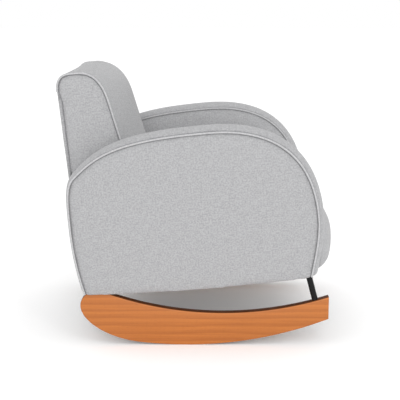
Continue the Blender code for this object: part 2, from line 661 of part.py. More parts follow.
def build_front_post(side, head, down, foot):
    """A steel post welded to a plate under the arm, with a bore up its foot for the bolt."""
    plate_low = (head.x - PLATE_WIDTH / 2.0, POST_TOP_Y - POST_DIAMETER / 2.0 - PLATE_LEAD,
                 -GAP - PLATE_THICKNESS)
    plate_high = (head.x + PLATE_WIDTH / 2.0, plate_low[1] + PLATE_LENGTH, -GAP)
    post = box(side + "_front_post", plate_low, plate_high, "black_steel", body)

    stem_mesh = rod_mesh(side + "_post_stem", head, foot, POST_DIAMETER)
    plate_up = Vector((0.0, math.sin(BODY_TILT), math.cos(BODY_TILT)))
    plate_middle = Vector((0.0, *to_row(0.0, -GAP - PLATE_THICKNESS / 2.0)))
    for vertex in stem_mesh.vertices:
        if (vertex.co - head).dot(down) < POST_DIAMETER / 2.0:
            vertex.co += down * ((plate_middle - vertex.co).dot(plate_up) / down.dot(plate_up))
    combine(post, stem_mesh, "UNION", None)
    bore = rod_mesh(side + "_post_bore", foot + down * BORE_OVERRUN, foot - down * (BOLT_GRIP + GAP),
                    HOLE_DIAMETER)
    combine(post, bore, "DIFFERENCE", None)


def build_base(side, sign, arm_rail):
    """A cherry rocker, studded to the body at the rear and carried on a steel post at the front."""
    rocker = slab(side + "_rocker", rocker_outline(), between(sign, ROCKER_OUT - ROCKER_WIDTH, ROCKER_OUT),
                  "cherry", None)
    edge = rocker.modifiers.new("rounded_edges", "BEVEL")
    edge.width = ROCKER_EDGE
    edge.segments = 2
    edge.limit_method = "ANGLE"
    edge.angle_limit = math.radians(50.0)

    x = sign * ROCKER_MIDDLE
    head = Vector((x, *to_row(POST_TOP_Y, 0.0)))
    down = Vector((0.0, -math.sin(POST_LEAN), -math.cos(POST_LEAN)))
    top = reach_to_arc(head, down, ROCKER_WAIST_Y, ROCKER_WAIST, ROCKER_TOP_RADIUS)
    sole = reach_to_arc(head, down, ROCKER_CONTACT_Y, 0.0, ROCKER_RADIUS)
    foot = head + down * (top + POST_SOCKET)
    build_front_post(side, head, down, foot)

    recess = head + down * (sole - BOLT_RECESS)
    drill(rocker, side + "_post_socket", foot + down * GAP, head + down * (top - POST_DIAMETER),
          POST_DIAMETER + 2.0 * BOLT_CLEARANCE)
    drill(rocker, side + "_bolt_hole", foot, recess + down * BORE_OVERRUN, HOLE_DIAMETER)
    drill(rocker, side + "_bolt_recess", recess, head + down * (sole + BOLT_RECESS),
          BOLT_HEAD_DIAMETER + 4.0 * BOLT_CLEARANCE)
    bolt(side + "_front_bolt", recess + down * (BOLT_HEAD_HEIGHT + GAP), -down,
         foot - down * (BOLT_GRIP - GAP), None)

    seat_middle = ARM_FOOT_REAR - ROCKER_SEAT_INSET - math.dist(*rocker_seat()) / 2.0
    for number, step in enumerate((-0.5, 0.5), start=1):
        y = seat_middle + step * STUD_SPACING
        rise = ARM_RAIL_HEIGHT - STUD_COVER
        stud = rod("%s_rear_stud_%d" % (side, number), (x, y, -STUD_DEPTH), (x, y, rise), BOLT_DIAMETER,
                   "zinc", body)
        drill(arm_rail, stud.name + "_rail_hole", (x, y, -STUD_OVERRUN), (x, y, rise + GAP), HOLE_DIAMETER)
        low = Vector((x, *to_row(y, -STUD_DEPTH - GAP)))
        high = Vector((x, *to_row(y, STUD_OVERRUN)))
        drill(rocker, stud.name + "_rocker_hole", low, high, HOLE_DIAMETER)


def bolt_arm_to_seat(side, sign, inner_board, inner_pad, side_rail):
    """Bolts from inside the arm, through its inner board and pad into the seat's side rail."""
    tip = SEAT_HALF - RAIL_THICKNESS
    inward = Vector((-sign, 0.0, 0.0))
    for number, y in enumerate(ARM_BOLT_Y, start=1):
        name = "%s_arm_bolt_%d" % (side, number)
        under_head = Vector((sign * CORE_IN, y, ARM_BOLT_Z))
        end = Vector((sign * tip, y, ARM_BOLT_Z))
        bolt(name, under_head - inward * BOLT_HEAD_HEIGHT, inward, end, body)
        for target in (inner_board, inner_pad, side_rail):
            drill(target, name + "_through_" + target.name, end + inward * STUD_OVERRUN,
                  under_head - inward * STUD_OVERRUN, HOLE_DIAMETER)


# ---- the chair --------------------------------------------------------------------------------------
body = frame_empty("body_frame", (0.0, BODY_Y, BODY_Z), BODY_TILT)
seat_side_rails = build_seat()
build_back()
for side_name, side_sign in SIDES:
    board, pad, bottom_rail = build_arm(side_name, side_sign)
    bolt_arm_to_seat(side_name, side_sign, board, pad, seat_side_rails[side_name])
    build_base(side_name, side_sign, bottom_rail)
bpy.context.view_layer.update()
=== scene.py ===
"""Looks of the upholstered rocking chair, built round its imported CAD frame, in metres and +Z up.

The chair faces -Y and its right arm, the sitter's right, is at -X. The padded body is drawn square in
its own frame, whose XY plane is the body's underside, and is then tipped back onto the rockers.
Outlines are (y, z) pairs in that side plane. Each pad is made for the right side and then mirrored.
"""

import math

import bpy
import numpy as np
from mathutils import Matrix, Vector


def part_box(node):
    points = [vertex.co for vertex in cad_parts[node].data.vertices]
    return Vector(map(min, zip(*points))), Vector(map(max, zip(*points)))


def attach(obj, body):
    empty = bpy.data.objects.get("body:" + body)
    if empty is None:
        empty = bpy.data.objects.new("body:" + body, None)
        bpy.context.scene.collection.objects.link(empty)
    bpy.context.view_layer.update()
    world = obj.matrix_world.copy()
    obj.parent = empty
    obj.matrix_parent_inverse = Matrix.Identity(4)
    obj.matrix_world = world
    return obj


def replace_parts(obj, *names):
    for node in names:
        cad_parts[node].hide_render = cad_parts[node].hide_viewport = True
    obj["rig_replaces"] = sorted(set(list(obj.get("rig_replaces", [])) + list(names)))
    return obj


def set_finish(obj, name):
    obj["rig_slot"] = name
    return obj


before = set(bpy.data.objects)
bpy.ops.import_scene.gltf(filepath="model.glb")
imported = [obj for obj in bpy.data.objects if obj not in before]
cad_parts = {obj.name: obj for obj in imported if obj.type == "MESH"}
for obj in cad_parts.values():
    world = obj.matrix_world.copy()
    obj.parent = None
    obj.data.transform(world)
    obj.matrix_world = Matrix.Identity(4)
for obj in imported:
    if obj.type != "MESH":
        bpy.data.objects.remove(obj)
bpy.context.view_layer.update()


# ---- studio --------------------------------------------------------------------------------------
# A pale seamless floor under an even white sky, with a wide soft lamp and a narrow softbox on the
# chair's right. The camera stands about three metres from the right arm and looks slightly down on it.
CAMERA_PLACE = (-3.375, -0.012, 1.0749)
CAMERA_PITCH = math.radians(11.47)
CAMERA_YAW = math.radians(0.167)
CAMERA_LENS = 90.9
SKY_STRENGTH = 1.0
SOFTBOX_PLACE = (-2.6, -0.9, 2.5)
SOFTBOX_SIZE = (0.35, 1.4)
SOFTBOX_POWER = 9.0
LAMP_FROM = (-1.0, -0.04, 0.36)
LAMP_SPREAD = math.radians(32.0)
LAMP_STRENGTH = 1.15
SOFTBOX_TARGET = (0.0, 0.0, 0.4)
FLOOR_SIDE = 60.0
FLOOR_WHITE = (0.96, 0.96, 0.96, 1.0)
FLOOR_GLOW = 0.07               # lifts the floor to white without washing out its shadows
WHITE = (1.0, 1.0, 1.0, 1.0)


def aim(obj, place, target):
    """Stand an object at a place, with its -Z looking at a target."""
    obj.location = place
    obj.rotation_euler = (Vector(target) - Vector(place)).to_track_quat("-Z", "Y").to_euler()


def node(tree, kind, inputs=None, **settings):
    """Add a shader node, set it up, and link or set its inputs by name or number."""
    made = tree.nodes.new(kind)
    for key, value in settings.items():
        setattr(made, key, value)
    for key, value in (inputs or {}).items():
        if isinstance(value, bpy.types.NodeSocket):
            tree.links.new(value, made.inputs[key])
        else:
            made.inputs[key].default_value = value
    return made


def finish_shader(name, **plain):
    """A new material with its Principled BSDF, and the shader sockets that are the same all over."""
    material = bpy.data.materials.new(name)
    material.use_nodes = True
    shader = material.node_tree.nodes["Principled BSDF"]
    for socket, value in plain.items():
        shader.inputs[socket.replace("_", " ")].default_value = value
    return material, material.node_tree, shader


bpy.ops.object.select_all(action="DESELECT")
camera_data = bpy.data.cameras.new("camera")
camera_data.lens = CAMERA_LENS
camera = bpy.data.objects.new("camera", camera_data)
bpy.context.scene.collection.objects.link(camera)
level = math.cos(CAMERA_PITCH)
gaze = Vector((level * math.cos(CAMERA_YAW), level * math.sin(CAMERA_YAW), -math.sin(CAMERA_PITCH)))
aim(camera, CAMERA_PLACE, Vector(CAMERA_PLACE) + gaze)
bpy.context.scene.camera = camera

sky = bpy.data.worlds.new("studio_sky")
sky.use_nodes = True
sky_inputs = sky.node_tree.nodes["Background"].inputs
sky_inputs["Color"].default_value = WHITE
sky_inputs["Strength"].default_value = SKY_STRENGTH
bpy.context.scene.world = sky
bpy.context.scene.view_settings.view_transform = "Standard"

softbox_data = bpy.data.lights.new("softbox", "AREA")
softbox_data.shape = "RECTANGLE"
softbox_data.size, softbox_data.size_y = SOFTBOX_SIZE
softbox_data.energy = SOFTBOX_POWER
softbox = bpy.data.objects.new("softbox", softbox_data)
bpy.context.scene.collection.objects.link(softbox)
softbox.visible_camera = False
aim(softbox, SOFTBOX_PLACE, SOFTBOX_TARGET)

lamp_data = bpy.data.lights.new("wide_lamp", "SUN")
lamp_data.angle = LAMP_SPREAD
lamp_data.energy = LAMP_STRENGTH
lamp = bpy.data.objects.new("wide_lamp", lamp_data)
bpy.context.scene.collection.objects.link(lamp)
aim(lamp, LAMP_FROM, (0.0, 0.0, 0.0))

bpy.ops.mesh.primitive_plane_add(size=FLOOR_SIDE)
floor = bpy.context.object
floor.name = "floor"
floor_paint = finish_shader("floor_paint", Base_Color=FLOOR_WHITE, Roughness=0.9, Specular_IOR_Level=0.0,
                            Emission_Color=WHITE, Emission_Strength=FLOOR_GLOW)[0]
floor.data.materials.append(floor_paint)


# ---- arm outer panels ----------------------------------------------------------------------------
# Each arm is a plywood box with a thin foam sheet glued to its outer side. The cover's outer panel is
# stretched over the foam and sewn into the piped seam, so it stands slightly crowned.
BODY_TILT = math.radians(4.66)
BODY_PLACE = (0.0, -0.012, 0.1945)
CLEARANCE = 0.0003              # gap that meshes keep where the real pieces touch
VOXEL = 0.006
SEAM_GAP = 0.0056               # panel's rim in from the seam line, where the piping is
RIM_ROUND = 0.0016              # and its face in from its rim
PANEL_START = 0.0042            # the panel is sewn this much lower than it fills out to
PANEL_DEPTH = 0.024             # deep body for the filling, cut back to the board afterwards
PANEL_FREE = 0.0085             # the part of its depth that is free to fill out
PANEL_DROP = 0.0035             # the lower edge hangs over the base by this much at its ends
PANEL_SAG = 0.009               # and by this much more at mid-length

body_frame = Matrix.Translation(BODY_PLACE) @ Matrix.Rotation(-BODY_TILT, 4, "X")


def body_box(name):
    """Corners of a CAD node in the frame of the padded body."""
    upright = body_frame.inverted()
    points = np.array([upright @ vertex.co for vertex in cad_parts[name].data.vertices])
    return Vector(points.min(axis=0)), Vector(points.max(axis=0))


def evenly(line, count):
    """The same line with count points an even distance apart."""
    run = np.concatenate(([0.0], np.cumsum(np.linalg.norm(np.diff(line, axis=0), axis=1))))
    at = np.linspace(0.0, run[-1], count)
    return np.column_stack([np.interp(at, run, line[:, axis]) for axis in (0, 1)])


def drawn(knots, count):
    """Even points of a curve drawn through knots, each a point and its handles in and out."""
    t = np.linspace(0.0, 1.0, 40)[:, None]
    stretches = []
    for (a, _, leaving), (d, entering, _) in zip(knots, knots[1:]):
        a, d = np.array(a), np.array(d)
        b, c = a + leaving, d + entering
        stretch = a * (1 - t) ** 3 + 3 * b * (1 - t) ** 2 * t + 3 * c * (1 - t) * t ** 2 + d * t ** 3
        stretches.append(stretch if len(stretches) == 0 else stretch[1:])
    return evenly(np.vstack(stretches), count)


def moved_in(line, distance):
    """An outline moved to its right-hand side, by one distance or one for each point."""
    along = np.gradient(line, axis=0)
    along /= np.linalg.norm(along, axis=1)[:, None]
    return line + np.column_stack((along[:, 1], -along[:, 0])) * np.reshape(distance, (-1, 1))


arm_low, arm_high = body_box("right_arm_outer_welt")
ARM_FRONT, ARM_REAR, ARM_TOP = arm_low.y, arm_high.y, arm_high.z
ARM_FRONT_FOOT = ARM_FRONT + 0.033
ARM_REAR_FOOT = ARM_REAR - 0.024


def arm_seam(count=240):
    """The arm's seam line, from its front foot over the top to its rear foot."""
    return drawn((
        ((ARM_FRONT_FOOT, 0.0), None, (-0.008, 0.035)),
        ((ARM_FRONT, 0.175), (0.0, -0.060), (0.0, 0.200)),
        ((-0.060, ARM_TOP), (-0.200, 0.0), (0.280, 0.0)),
        ((ARM_REAR - 0.027, ARM_TOP - 0.107), (-0.075, 0.066), (0.026, -0.023)),
        ((ARM_REAR, 0.210), (0.0, 0.090), (0.0, -0.080)),
        ((ARM_REAR_FOOT, 0.0), (0.014, 0.060), None)), count)


def skin(name, rings):
    """A closed skin over rings of points, with its two ends filled."""
    count = len(rings[0])
    faces = []
    for ring in range(len(rings) - 1):
        for index in range(count):
            a, b = ring * count + index, ring * count + (index + 1) % count
            faces.append((a, b, b + count, a + count))
    faces.append(tuple(range(count)))
    faces.append(tuple(range((len(rings) - 1) * count, len(rings) * count)))
    mesh = bpy.data.meshes.new(name)
    mesh.from_pydata(np.vstack(rings).tolist(), [], faces)
    made = bpy.data.objects.new(name, mesh)
    bpy.context.scene.collection.objects.link(made)
    bpy.ops.object.select_all(action="DESELECT")
    made.select_set(True)
    bpy.context.view_layer.objects.active = made
    bpy.ops.object.mode_set(mode="EDIT")
    bpy.ops.mesh.select_all(action="SELECT")
    bpy.ops.mesh.normals_make_consistent(inside=False)
    bpy.ops.object.mode_set(mode="OBJECT")
    return made


def section(x, outline):
    """A ring of 3-D points from an outline at an X place."""
    return np.column_stack((np.full(len(outline), x), outline))


def apply_modifier(obj, kind, **settings):
    """Put a modifier on the active object and apply it at once."""
    modifier = obj.modifiers.new(kind.lower(), kind)
    for key, value in settings.items():
        setattr(modifier, key, value)
    bpy.ops.object.modifier_apply(modifier=modifier.name)


def points_of(obj):
    """Vertex places of a mesh as an array."""
    places = np.empty(len(obj.data.vertices) * 3)
    obj.data.vertices.foreach_get("co", places)
    return places.reshape(-1, 3)


def stuff(pad, rise, held, voxel=VOXEL):
    """Fill a sewn cover: cloth pressure swells it by up to rise wherever it isn't held."""
    apply_modifier(pad, "REMESH", mode="VOXEL", voxel_size=voxel)
    grip = pad.vertex_groups.new(name="held")
    grip.add(np.flatnonzero(held(points_of(pad))).tolist(), 1.0, "REPLACE")
    loose = {"factor": 0.5, "vertex_group": "held", "invert_vertex_group": True}
    apply_modifier(pad, "SMOOTH", factor=0.5, iterations=2)
    apply_modifier(pad, "SMOOTH", iterations=2, **loose)
    sewn = points_of(pad)
    filling = pad.modifiers.new("filling", "CLOTH")
    filling.settings.quality = 4
    filling.settings.use_pressure = True
    filling.settings.uniform_pressure_force = 4.0
    filling.settings.vertex_group_mass = "held"
    filling.settings.effector_weights.gravity = 0.0
    filling.point_cache.frame_end = 20
    for step in range(1, 21):
        bpy.context.scene.frame_set(step)
    bpy.ops.object.modifier_apply(modifier=filling.name)
    bpy.context.scene.frame_set(1)
    swelled = points_of(pad) - sewn
    reach = np.linalg.norm(swelled, axis=1, keepdims=True) + 1e-9
    sewn += swelled * (rise * np.tanh(reach / rise) / reach)
    pad.data.vertices.foreach_set("co", sewn.ravel())
    apply_modifier(pad, "SMOOTH", iterations=2, **loose)
    pad.vertex_groups.clear()
    apply_modifier(pad, "SUBSURF", levels=1, render_levels=1)


def cut_flat(pad, place, away):
    """Slice off all that lies beyond a plane and close the cut, where the pad is glued to its board."""
    bpy.ops.object.mode_set(mode="EDIT")
    bpy.ops.mesh.select_all(action="SELECT")
    bpy.ops.mesh.bisect(plane_co=place, plane_no=away, use_fill=True, clear_outer=True)
    bpy.ops.object.mode_set(mode="OBJECT")


def distance_to(line, points):
    """Each point's distance in the side plane from a line, and the length along the line there."""
    run = np.concatenate(([0.0], np.cumsum(np.linalg.norm(np.diff(line, axis=0), axis=1))))
    gaps, places = [], []
    for part in np.array_split(points[:, 1:], 1 + len(points) // 20000):
        spread = np.linalg.norm(part[:, None] - line[None], axis=2)
        nearest = spread.argmin(axis=1)
        gaps.append(spread[np.arange(len(part)), nearest])
        places.append(run[nearest])
    return np.concatenate(gaps), np.concatenate(places)


def lay_cloth(pad, along, across, from_seam):
    """Store how the cloth lies: its two thread directions, and the distance from the nearest seam."""
    lay = pad.data.attributes.new("cloth_lay", "FLOAT_VECTOR", "POINT")
    lay.data.foreach_set("vector", np.column_stack((along, across, from_seam)).astype(np.float32).ravel())


def dress(pad, material, slot, *replaced, fill=None):
    """Tip a finished pad back with the body, smooth it, and give it its cloth and its CAD nodes."""
    pad.data.transform(body_frame)
    pad.data.materials.clear()
    pad.data.materials.append(material)
    bpy.ops.object.select_all(action="DESELECT")
    pad.select_set(True)
    bpy.context.view_layer.objects.active = pad
    bpy.ops.object.shade_smooth_by_angle(angle=math.radians(50.0))
    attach(pad, "root")
    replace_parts(pad, *replaced)
    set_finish(pad, slot)


def twin(piece):
    """The same piece on the chair's left, mirrored, standing for the left CAD nodes."""
    other = bpy.data.objects.new(piece.name.replace("right", "left"), piece.data.copy())
    bpy.context.scene.collection.objects.link(other)
    other.data.transform(Matrix.Scale(-1.0, 4, (1.0, 0.0, 0.0)))
    other.data.flip_normals()
    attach(other, "root")
    if "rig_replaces" in piece:
        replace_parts(other, *[name.replace("right", "left") for name in piece["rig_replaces"]])
    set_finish(other, piece["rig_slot"])
    return other


def new_group(name, inputs, outputs):
    """A shader node group with its sockets, and its two end nodes."""
    tree = bpy.data.node_groups.new(name, "ShaderNodeTree")
    for label, kind, value in inputs:
        socket = tree.interface.new_socket(label, in_out="INPUT", socket_type=kind)
        if value is not None:
            socket.default_value = value
    for label in outputs:
        tree.interface.new_socket(label, in_out="OUTPUT", socket_type="NodeSocketFloat")
    return tree, tree.nodes.new("NodeGroupInput").outputs, tree.nodes.new("NodeGroupOutput").inputs


def maths(tree, operation, a, b=0.0, c=0.0):
    """The result socket of one Math node."""
    return node(tree, "ShaderNodeMath", {0: a, 1: b, 2: c}, operation=operation).outputs[0]


def noise(tree, vector, scale, detail=2.0):
    """The value socket of one Noise Texture."""
    made = node(tree, "ShaderNodeTexNoise", {"Vector": vector, "Scale": scale, "Detail": detail})
    return made.outputs[0]


def stretched(tree, vector, scale):
    """A vector scaled by a different amount in each direction."""
    return node(tree, "ShaderNodeVectorMath", {0: vector, 1: scale}, operation="MULTIPLY").outputs[0]


def between_values(tree, value, low, high):
    """A smooth 0 to 1 as value goes from low to high."""
    made = node(tree, "ShaderNodeMapRange", {"Value": value, "From Min": low, "From Max": high},
                interpolation_type="SMOOTHSTEP")
    return made.outputs[0]


def weave_group():
    """Plain weave of slubby yarn: its relief, and the light and dark of its mixed fibres."""
    tree, given, result = new_group("plain_weave", (("Lay", "NodeSocketVector", None),
                                                    ("Yarn", "NodeSocketFloat", 0.0012)),
                                    ("Relief", "Heather"))
    wander = node(tree, "ShaderNodeTexNoise", {"Vector": given["Lay"], "Scale": 70.0, "Detail": 1.0})
    wander = node(tree, "ShaderNodeVectorMath", {0: wander.outputs["Color"], 1: (0.0012, 0.0012, 0.0)},
                  operation="MULTIPLY").outputs[0]
    lay = node(tree, "ShaderNodeVectorMath", {0: given["Lay"], 1: wander}, operation="ADD").outputs[0]
    parts = node(tree, "ShaderNodeSeparateXYZ", {0: lay}).outputs
    turn = maths(tree, "DIVIDE", math.pi, given["Yarn"])
    warp = maths(tree, "SINE", maths(tree, "MULTIPLY", parts["X"], turn))
    weft = maths(tree, "SINE", maths(tree, "MULTIPLY", parts["Y"], turn))
    over = between_values(tree, maths(tree, "MULTIPLY", warp, weft), -0.3, 0.3)
    warp_round = maths(tree, "ABSOLUTE", warp)
    weft_round = maths(tree, "ABSOLUTE", weft)
    relief = node(tree, "ShaderNodeMix", {0: over, 2: weft_round, 3: warp_round}).outputs[0]
    flat_lay = stretched(tree, given["Lay"], (1.0, 1.0, 0.0))
    slub_one = noise(tree, stretched(tree, flat_lay, (420.0, 42.0, 0.0)), 1.0)
    slub_two = noise(tree, stretched(tree, flat_lay, (42.0, 420.0, 0.0)), 1.0)
    slubs = node(tree, "ShaderNodeMix", {0: over, 2: slub_two, 3: slub_one}).outputs[0]
    fleck = noise(tree, flat_lay, 210.0, 2.0)
    cloud = noise(tree, flat_lay, 40.0, 2.0)
    heather = maths(tree, "ADD", maths(tree, "MULTIPLY", slubs, 0.36), maths(tree, "MULTIPLY", fleck, 0.56))
    heather = maths(tree, "MULTIPLY_ADD", cloud, 0.08, heather)
    tree.links.new(maths(tree, "MULTIPLY_ADD", slubs, 0.8, relief), result["Relief"])
    tree.links.new(between_values(tree, heather, 0.36, 0.64), result["Heather"])
    return tree


def seam_group():
    """Where cloth runs into a seam: how near it is, which sets the painted seam shade, and the puckers that
    it forms.
    """
    tree, given, result = new_group("seam_pull", (("Lay", "NodeSocketVector", None),
                                                  ("Reach", "NodeSocketFloat", 0.012)),
                                    ("Seam_nearness", "Pucker"))
    from_seam = node(tree, "ShaderNodeSeparateXYZ", {0: given["Lay"]}).outputs["Z"]
    share = maths(tree, "DIVIDE", from_seam, given["Reach"])
    seam_nearness = maths(tree, "SUBTRACT", 1.0, between_values(tree, share, 0.0, 1.0))
    folds = noise(tree, stretched(tree, given["Lay"], (1.0, 1.0, 0.0)), 75.0, 1.0)
    tree.links.new(seam_nearness, result["Seam_nearness"])
    tree.links.new(maths(tree, "MULTIPLY", folds, seam_nearness), result["Pucker"])
    return tree


plain_weave = weave_group()
seam_pull = seam_group()


# Dark grey of the painted shade that is laid along the seams, in the creases.
SEAM_SHADE_GREY = (0.10, 0.10, 0.105)


def cloth_material(name, dark, light, yarn, seam_reach, seam_shade):
    """Upholstery cloth: woven relief, heathered colour, painted shade along the seams, seam puckers and a
    soft sheen.
    """
    material, tree, shader = finish_shader(name, Roughness=0.93, Sheen_Weight=0.22, Sheen_Roughness=0.45,
                                           Specular_IOR_Level=0.18)
    lay = node(tree, "ShaderNodeAttribute", attribute_name="cloth_lay").outputs["Vector"]
    weave = node(tree, "ShaderNodeGroup", node_tree=plain_weave)
    seam = node(tree, "ShaderNodeGroup", node_tree=seam_pull)
    for group in (weave, seam):
        tree.links.new(lay, group.inputs["Lay"])
    weave.inputs["Yarn"].default_value = yarn
    seam.inputs["Reach"].default_value = seam_reach
    colour = node(tree, "ShaderNodeMix", {0: weave.outputs["Heather"], 6: (*dark, 1.0), 7: (*light, 1.0)},
                  data_type="RGBA").outputs[2]
    # Painted shade: near each seam the cloth is darkened towards dark grey, standing in for the shade in
    # the creases.
    painted_seam_shade = maths(tree, "MULTIPLY", seam.outputs["Seam_nearness"], seam_shade)
    colour = node(tree, "ShaderNodeMix", {0: painted_seam_shade, 6: colour, 7: (*SEAM_SHADE_GREY, 1.0)},
                  data_type="RGBA").outputs[2]
    tree.links.new(colour, shader.inputs["Base Color"])
    pucker = node(tree, "ShaderNodeBump", {"Strength": 0.35, "Distance": 0.0025,
                                           "Height": seam.outputs["Pucker"]})
    bump = node(tree, "ShaderNodeBump", {"Strength": 0.45, "Distance": 0.0005,
                                         "Height": weave.outputs["Relief"],
                                         "Normal": pucker.outputs["Normal"]})
    tree.links.new(bump.outputs["Normal"], shader.inputs["Normal"])
    return material


grey_fabric = cloth_material("grey_fabric", dark=(0.298, 0.298, 0.305), light=(0.412, 0.412, 0.419),
                             yarn=0.0012, seam_reach=0.0036, seam_shade=0.50)


def arm_panel_outline(inset, drop, sag):
    """An arm panel's outline: the seam line moved in, closed by the lower edge."""
    upper = moved_in(arm_seam(), inset)
    upper[0, 1] = upper[-1, 1] = -drop
    share = np.linspace(0.0, 1.0, 122)[1:-1]
    lower_y = upper[-1, 0] + (upper[0, 0] - upper[-1, 0]) * share
    lower = np.column_stack((lower_y, -drop - sag * 4.0 * share * (1.0 - share)))
    return np.vstack((upper, lower))


outer_low, outer_high = body_box("right_arm_outer_pad")
panel_face = outer_low.x + PANEL_START
stations = ((outer_low.x + PANEL_DEPTH, SEAM_GAP), (panel_face + 0.002, SEAM_GAP),
            (panel_face, SEAM_GAP + RIM_ROUND))
outer_panel = skin("right_arm_outer_panel",
                   [section(x, arm_panel_outline(inset, PANEL_DROP, PANEL_SAG)) for x, inset in stations])
stuff(outer_panel, PANEL_START, lambda points: points[:, 0] > outer_low.x + PANEL_FREE)
cut_flat(outer_panel, (outer_high.x, 0.0, 0.0), (1.0, 0.0, 0.0))
panel_points = points_of(outer_panel)
lay_cloth(outer_panel, panel_points[:, 1], panel_points[:, 2],
          distance_to(moved_in(arm_seam(), SEAM_GAP), panel_points)[0])
dress(outer_panel, grey_fabric, "grey_fabric", "right_arm_outer_pad", fill=0.9)
twin(outer_panel)


# ---- arm inner panels ----------------------------------------------------------------------------
# The inner side is padded a little thicker, as an elbow and hip rest. Its panel is sewn in like the
# outer one, and its lower part is hidden behind the seat.
INNER_START = 0.0045
INNER_FREE = 0.0095
inner_low, inner_high = body_box("right_arm_inner_pad")
inner_face = inner_high.x - INNER_START
stations = ((inner_high.x - PANEL_DEPTH, SEAM_GAP), (inner_face - 0.002, SEAM_GAP),
            (inner_face, SEAM_GAP + RIM_ROUND))
inner_panel = skin("right_arm_inner_panel",
                   [section(x, arm_panel_outline(inset, 0.0, 0.0)) for x, inset in stations])
stuff(inner_panel, INNER_START, lambda points: points[:, 0] < inner_high.x - INNER_FREE)
cut_flat(inner_panel, (inner_low.x, 0.0, 0.0), (-1.0, 0.0, 0.0))
panel_points = points_of(inner_panel)
lay_cloth(inner_panel, panel_points[:, 1], panel_points[:, 2],
          distance_to(moved_in(arm_seam(), SEAM_GAP), panel_points)[0])
dress(inner_panel, grey_fabric, "grey_fabric", "right_arm_inner_pad", fill=0.9)
twin(inner_panel)


# ---- arm boxing strips ---------------------------------------------------------------------------
# One strip of the cover runs from the arm's front foot over the top and down its rear, over a foam
# roll. It is sewn between the two piped seams and crowns between them, least at the rear.
CROWN = 0.0200
REAR_CROWN = 0.0085
STRIP_START = 0.0028
STRIP_RIM = 0.018               # depth of its foam, down to the top of the arm's frame
STRIP_SPREAD = 0.004            # the strip's flanks bulge this far over the edges of the arm's frame
strip_low, strip_high = body_box("right_arm_boxing")


def strip_outline(swell):
    """The strip's section along the arm at a share of its crown, closed over the arm's frame."""
    seam = arm_seam()
    rearward = np.clip((seam[:, 0] + 0.060) / (ARM_REAR + 0.060), 0.0, 1.0)
    crown = CROWN - (CROWN - REAR_CROWN) * rearward ** 4 - STRIP_START
    outer = moved_in(seam, -crown * swell + STRIP_START * 0.3 * (1.0 - swell))
    inner = moved_in(seam, STRIP_RIM)
    outer[0, 1] = outer[-1, 1] = inner[0, 1] = inner[-1, 1] = 0.0
    return np.vstack((outer, inner[::-1]))


shares = np.linspace(-1.0, 1.0, 13)
strip_middle = (strip_low.x + strip_high.x) / 2.0
strip_half = (strip_high.x - strip_low.x) / 2.0 + STRIP_SPREAD
strip = skin("right_arm_strip", [section(strip_middle + strip_half * share,
                                         strip_outline(1.0 - abs(share) ** 2.4)) for share in shares])


def strip_held(points):
    """Held where the strip is sewn at its seams or rests on the frame."""
    flank = np.abs(points[:, 0] - strip_middle) > strip_half - 0.004
    inside = distance_to(moved_in(arm_seam(), STRIP_RIM), points)[0] < STRIP_RIM - 0.002
    return flank | inside


stuff(strip, STRIP_START, strip_held)
strip_points = points_of(strip)
_, strip_run = distance_to(arm_seam(), strip_points)
lay_cloth(strip, strip_run, strip_points[:, 0],
          np.maximum(strip_half - 0.001 - np.abs(strip_points[:, 0] - strip_middle), 0.0))
dress(strip, grey_fabric, "grey_fabric", "right_arm_boxing", fill=0.85)
twin(strip)


# ---- arm piping ----------------------------------------------------------------------------------
# Cotton cord in a sleeve of the same cloth, cut on the bias and sewn into each seam of the arm cover.
PIPING_RADIUS = 0.0032
PIPING_SIDES = 12
PIPING_STAND = 0.0045           # the piping is pushed out this far by the flank of the strip


def piping(name, x, line, replaced):
    """Piping along a seam line in a plane across X, its cloth turned to the bias."""
    along = np.gradient(line, axis=0)
    along /= np.linalg.norm(along, axis=1)[:, None]
    out = np.column_stack((-along[:, 1], along[:, 0]))
    angles = np.arange(PIPING_SIDES) * math.tau / PIPING_SIDES
    rings = []
    for (y, z), (out_y, out_z) in zip(line, out):
        rings.append(np.column_stack((x + PIPING_RADIUS * np.sin(angles),
                                      y + out_y * PIPING_RADIUS * np.cos(angles),
                                      z + out_z * PIPING_RADIUS * np.cos(angles))))
    cord = skin(name, rings)
    run = np.concatenate(([0.0], np.cumsum(np.linalg.norm(np.diff(line, axis=0), axis=1))))
    run = np.repeat(run, PIPING_SIDES)
    girth = np.tile(PIPING_RADIUS * angles, len(line))
    # Distance from the stitch lines on both sides of the cord, where its cloth gets the painted seam shade.
    from_stitches = np.tile(PIPING_RADIUS * np.arcsin(np.abs(np.sin(angles))), len(line))
    lay_cloth(cord, (run + girth) * math.sqrt(0.5), (run - girth) * math.sqrt(0.5), from_stitches)
    dress(cord, piping_cloth, "piping", replaced)
    return cord


# Painted highlight: the piping is the panels' grey cloth made about a quarter lighter, standing in for the
# light along the round cord.
piping_cloth = cloth_material("piping_cloth", dark=(0.385, 0.385, 0.392), light=(0.505, 0.505, 0.513),
                              yarn=0.0010, seam_reach=0.0026, seam_shade=0.70)
piping_line = moved_in(arm_seam(520), PIPING_RADIUS)
for label, outward in (("outer", -1.0), ("inner", 1.0)):
    cord_low, cord_high = body_box("right_arm_%s_welt" % label)
    cord_x = (cord_low.x + cord_high.x) / 2.0 + outward * PIPING_STAND
    twin(piping("right_arm_%s_piping" % label, cord_x, piping_line, "right_arm_%s_welt" % label))


